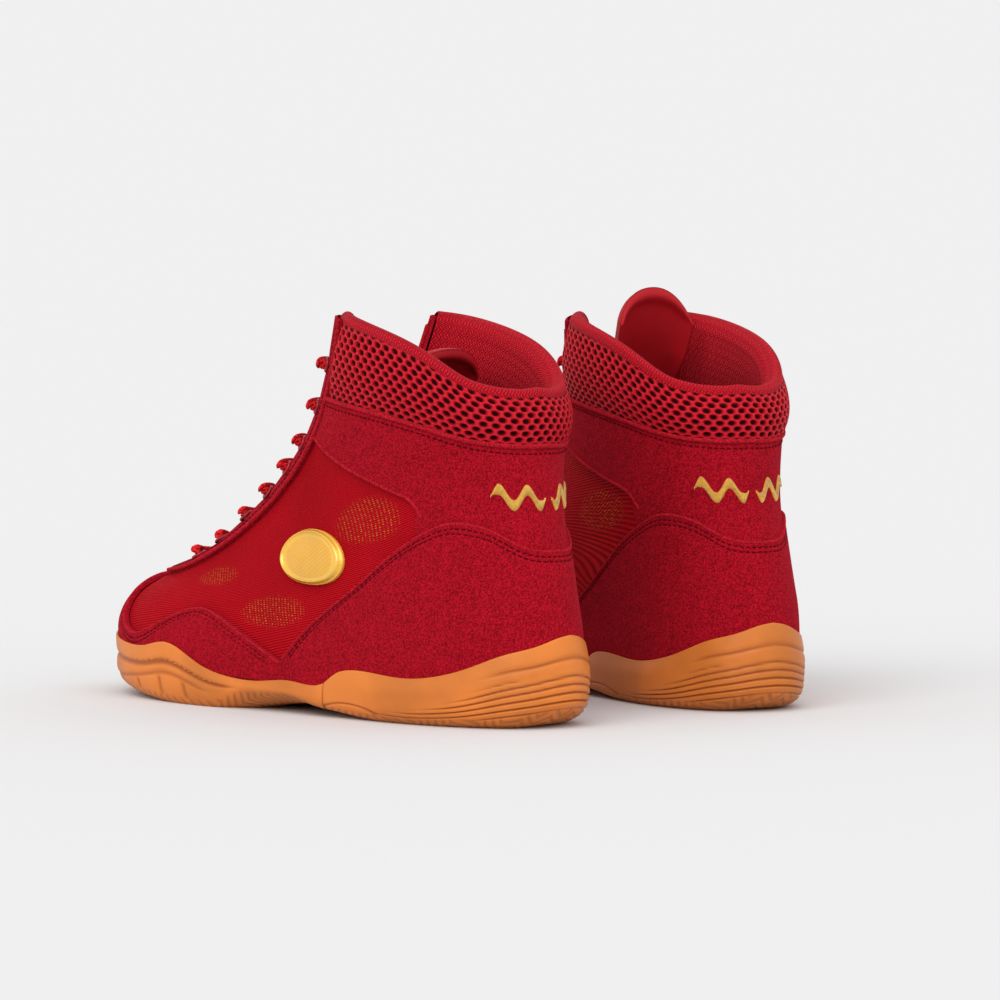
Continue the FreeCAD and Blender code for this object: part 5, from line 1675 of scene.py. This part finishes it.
class BOOTS_OT_lace(BootPiece):
    """Braided lace rows over the tongue"""
    bl_idname = "boots.lace"
    bl_label = "Lace"

    def build(self, sizes, finish):
        add_pieces("lace", lace_rows(), finish["braid"], "both", ("lace",))


class BOOTS_OT_tongue(BootPiece):
    """Padded tongue under the laces and its free end"""
    bl_idname = "boots.tongue"
    bl_label = "Tongue"

    def build(self, sizes, finish):
        add_pieces("tongue", lower_tongue(), finish["satin"], "both", ("tongue_lower",))
        for prefix, lean, top, half, fold in (("left_", sizes.left_lean, 18.0, 29.0, 3.0),
                                              ("right_", sizes.right_lean, 25.0, 22.0, 9.0)):
            front, back = tongue_end(math.degrees(lean), top, half, fold)
            grid = ring_loop(front, back)
            held = np.zeros(grid.shape[:2])
            held[:5] = 1.0
            blown = inflated(grid, held, 2.0, 1.2)
            rows = np.linspace(0, grid.shape[0] - 1, 90)
            wide = np.concatenate([blown[:, -3:], blown, blown[:, :4]], 1)
            columns = np.linspace(3, 3 + grid.shape[1], 181)[:-1]
            sheet = Sheet(finer(wide, rows, columns), wrap=True)
            piece = make_object(prefix + "tongue_end", SIDES[prefix], sheet, finish["satin"])
            finish_piece(piece, prefix, "tongue", ("tongue_top",))


class BOOTS_OT_collar(BootPiece):
    """Padded collar of air mesh with its rolled knit lining"""
    bl_idname = "boots.collar"
    bl_label = "Collar"

    def build(self, sizes, finish):
        air, knit = collar_pads()
        add_pieces("collar_air_mesh", air, finish["air"], "shaft", ("collar_mesh",))
        add_pieces("collar_lining", knit, finish["knit"], "shaft",
                   ("collar_lining", "collar_foam"))


class BOOTS_OT_lining(BootPiece):
    """Lining inside the foot and the shaft"""
    bl_idname = "boots.lining"
    bl_label = "Lining"

    def build(self, sizes, finish):
        add_pieces("lining", lining_sheet(), finish["lining"], "both", ("quarter_lining",),
                   ("vamp_lining",))


class BOOTS_OT_badge(BootPiece):
    """Plain oval badge on the outer side"""
    bl_idname = "boots.badge"
    bl_label = "Badge"

    def build(self, sizes, finish):
        add_pieces("oval_badge", badge(), finish["badge"], "boot", ("side_emblem",))


class BOOTS_OT_heel_waves(BootPiece):
    """Embroidered waves on either side of the back seam"""
    bl_idname = "boots.heel_waves"
    bl_label = "Heel embroidery"

    def build(self, sizes, finish):
        add_pieces("heel_waves", heel_waves(), finish["embroidery"], "ankle",
                   ("heel_motif",))


class BOOTS_OT_sole(BootPiece):
    """Heel and front units of the rubber sole"""
    bl_idname = "boots.sole"
    bl_label = "Sole"

    def build(self, sizes, finish):
        outer, inner = angle_at(UNITS_MEET)
        heel = sole_unit(-inner + 0.2, outer - 0.2, 420, carve_heel)
        add_pieces("heel_sole", heel, finish["rubber"], "boot", ("heel_outsole",))
        front = sole_unit(outer + 0.2, 360 - inner - 0.2, 470, carve_front)
        add_pieces("front_sole", front, finish["rubber"], "toe",
                   ("ball_outsole", "toe_outsole"))
        rows = []
        angle = np.linspace(100, 260, 500)
        section = sole_section(angle, np.linspace(0.5, 1.0, 60))
        top = section[-1, :, 2]
        low = section[0, :, 2]
        height = (section[..., 2] - low) / np.maximum(top - low, 1)
        pick = np.abs(height - 0.72).argmin(0)
        line = section[pick, np.arange(len(angle))]
        normal = grid_normals(section)[pick, np.arange(len(angle))]
        rows.append(stitches(line - normal * 0.45, normal, 3.6, 2.7, 0.42))
        add_pieces("sole_stitches", joined(rows), finish["rubber"], "toe")


class BOOTS_OT_footbed(BootPiece):
    """Insole, board and midsole"""
    bl_idname = "boots.footbed"
    bl_label = "Footbed"

    def build(self, sizes, finish):
        add_pieces("insole", footbed((None, 4.0), (None, 0.2), -6.4), finish["insole"],
                   "toe",
                   ("insole",))
        base = footbed((None, -0.6), (lambda s: float(ramp(s, 0.7, 1.0)) * 0.8, 5.4), 0.6, swell=0.0)
        add_pieces("midsole", base, finish["foam"], "toe", ("midsole", "insole_board"))


class BOOTS_OT_inner_parts(BootPiece):
    """Finishes of the moulded parts inside, which keep their frame shapes"""
    bl_idname = "boots.inner_parts"
    bl_label = "Inner parts"

    def build(self, sizes, finish):
        for prefix in SIDES:
            for node, key in (("shank", "plate"), ("heel_stiffener", "stiffener"), ("aglet", "tip")):
                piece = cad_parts[prefix + node]
                piece.data.materials.clear()
                piece.data.materials.append(finish[key])


class BOOTS_OT_stage(BootPiece):
    """Pale floor, soft light and the camera"""
    bl_idname = "boots.stage"
    bl_label = "Stage"

    def build(self, sizes, finish):
        scene = bpy.context.scene
        scene.view_settings.view_transform = "Standard"
        floor_mesh = bpy.data.meshes.new("floor")
        reach = 60.0
        floor_mesh.from_pydata([(-reach, -reach, 0), (reach, -reach, 0), (reach, reach, 0),
                                (-reach, reach, 0)],
                               [], [(0, 1, 2, 3)])
        made, graph, shader = material("pale_floor", Specular_IOR_Level=0.0)
        tone = scene.boot_colours.floor
        grain = graph.noise(graph.place(), 300.0, 2.0)
        graph.feed(shader["Base Color"], graph.mix_colour(grain, rgba(tone, 0.995), rgba(tone, 1.005)))
        graph.feed(shader["Roughness"], graph.math("MULTIPLY_ADD", grain, 0.02, 0.95))
        floor_mesh.materials.append(made)
        floor = bpy.data.objects.new("floor", floor_mesh)
        scene.collection.objects.link(floor)
        world = bpy.data.worlds.new("studio")
        world.use_nodes = True
        sky = world.node_tree.nodes["Background"]
        sky.inputs["Color"].default_value = (0.871, 0.871, 0.871, 1)
        sky.inputs["Strength"].default_value = 1.0
        scene.world = world
        self.sun("key", 1.5, 50, (-0.42, 0.76, 0.7))
        self.sun("rear_fill", 0.5, 70, (-0.9, -0.2, 0.8))
        camera = bpy.data.cameras.new("camera")
        camera.lens = sizes.lens
        camera.sensor_width = 36.0
        camera.clip_end = 200.0
        holder = bpy.data.objects.new("camera", camera)
        scene.collection.objects.link(holder)
        holder.location = (-1.502, 1.129, 0.178)
        holder.rotation_euler = Vector((0.7952, -0.6047, -0.0459)).to_track_quat("-Z", "Y").to_euler()
        scene.camera = holder

    def sun(self, name, strength, spread, source):
        """A broad soft light that shines from the direction of source."""
        light = bpy.data.lights.new(name, "SUN")
        light.energy = strength
        light.angle = math.radians(spread)
        holder = bpy.data.objects.new(name, light)
        bpy.context.scene.collection.objects.link(holder)
        holder.rotation_euler = Vector(source).to_track_quat("Z", "Y").to_euler()


PIECES = (BOOTS_OT_sole, BOOTS_OT_footbed, BOOTS_OT_lining, BOOTS_OT_quarter_fabric, BOOTS_OT_heel_counter,
          BOOTS_OT_toe_guard, BOOTS_OT_ankle_band, BOOTS_OT_collar, BOOTS_OT_tongue, BOOTS_OT_throat,
          BOOTS_OT_lace, BOOTS_OT_badge, BOOTS_OT_heel_waves, BOOTS_OT_inner_parts, BOOTS_OT_stage)


class BOOTS_PT_pieces(Panel):
    """The boots' pieces and settings"""
    bl_idname = "BOOTS_PT_pieces"
    bl_label = "Boxing Boots"
    bl_space_type = "VIEW_3D"
    bl_region_type = "UI"
    bl_category = "Boots"

    def draw(self, context):
        for settings in (context.scene.boot_sizes, context.scene.boot_colours):
            for name in settings.__annotations__:
                self.layout.prop(settings, name)
        for piece in PIECES:
            self.layout.operator(piece.bl_idname)


CLASSES = (BootColours, BootSizes) + PIECES + (BOOTS_PT_pieces,)


def register():
    for item in CLASSES:
        bpy.utils.register_class(item)
    bpy.types.Scene.boot_colours = PointerProperty(type=BootColours)
    bpy.types.Scene.boot_sizes = PointerProperty(type=BootSizes)


def unregister():
    del bpy.types.Scene.boot_sizes
    del bpy.types.Scene.boot_colours
    for item in reversed(CLASSES):
        bpy.utils.unregister_class(item)


def main():
    register()
    check_stance()
    for piece in PIECES:
        group, name = piece.bl_idname.split(".")
        getattr(getattr(bpy.ops, group), name)()


if __name__ == "__main__":
    main()
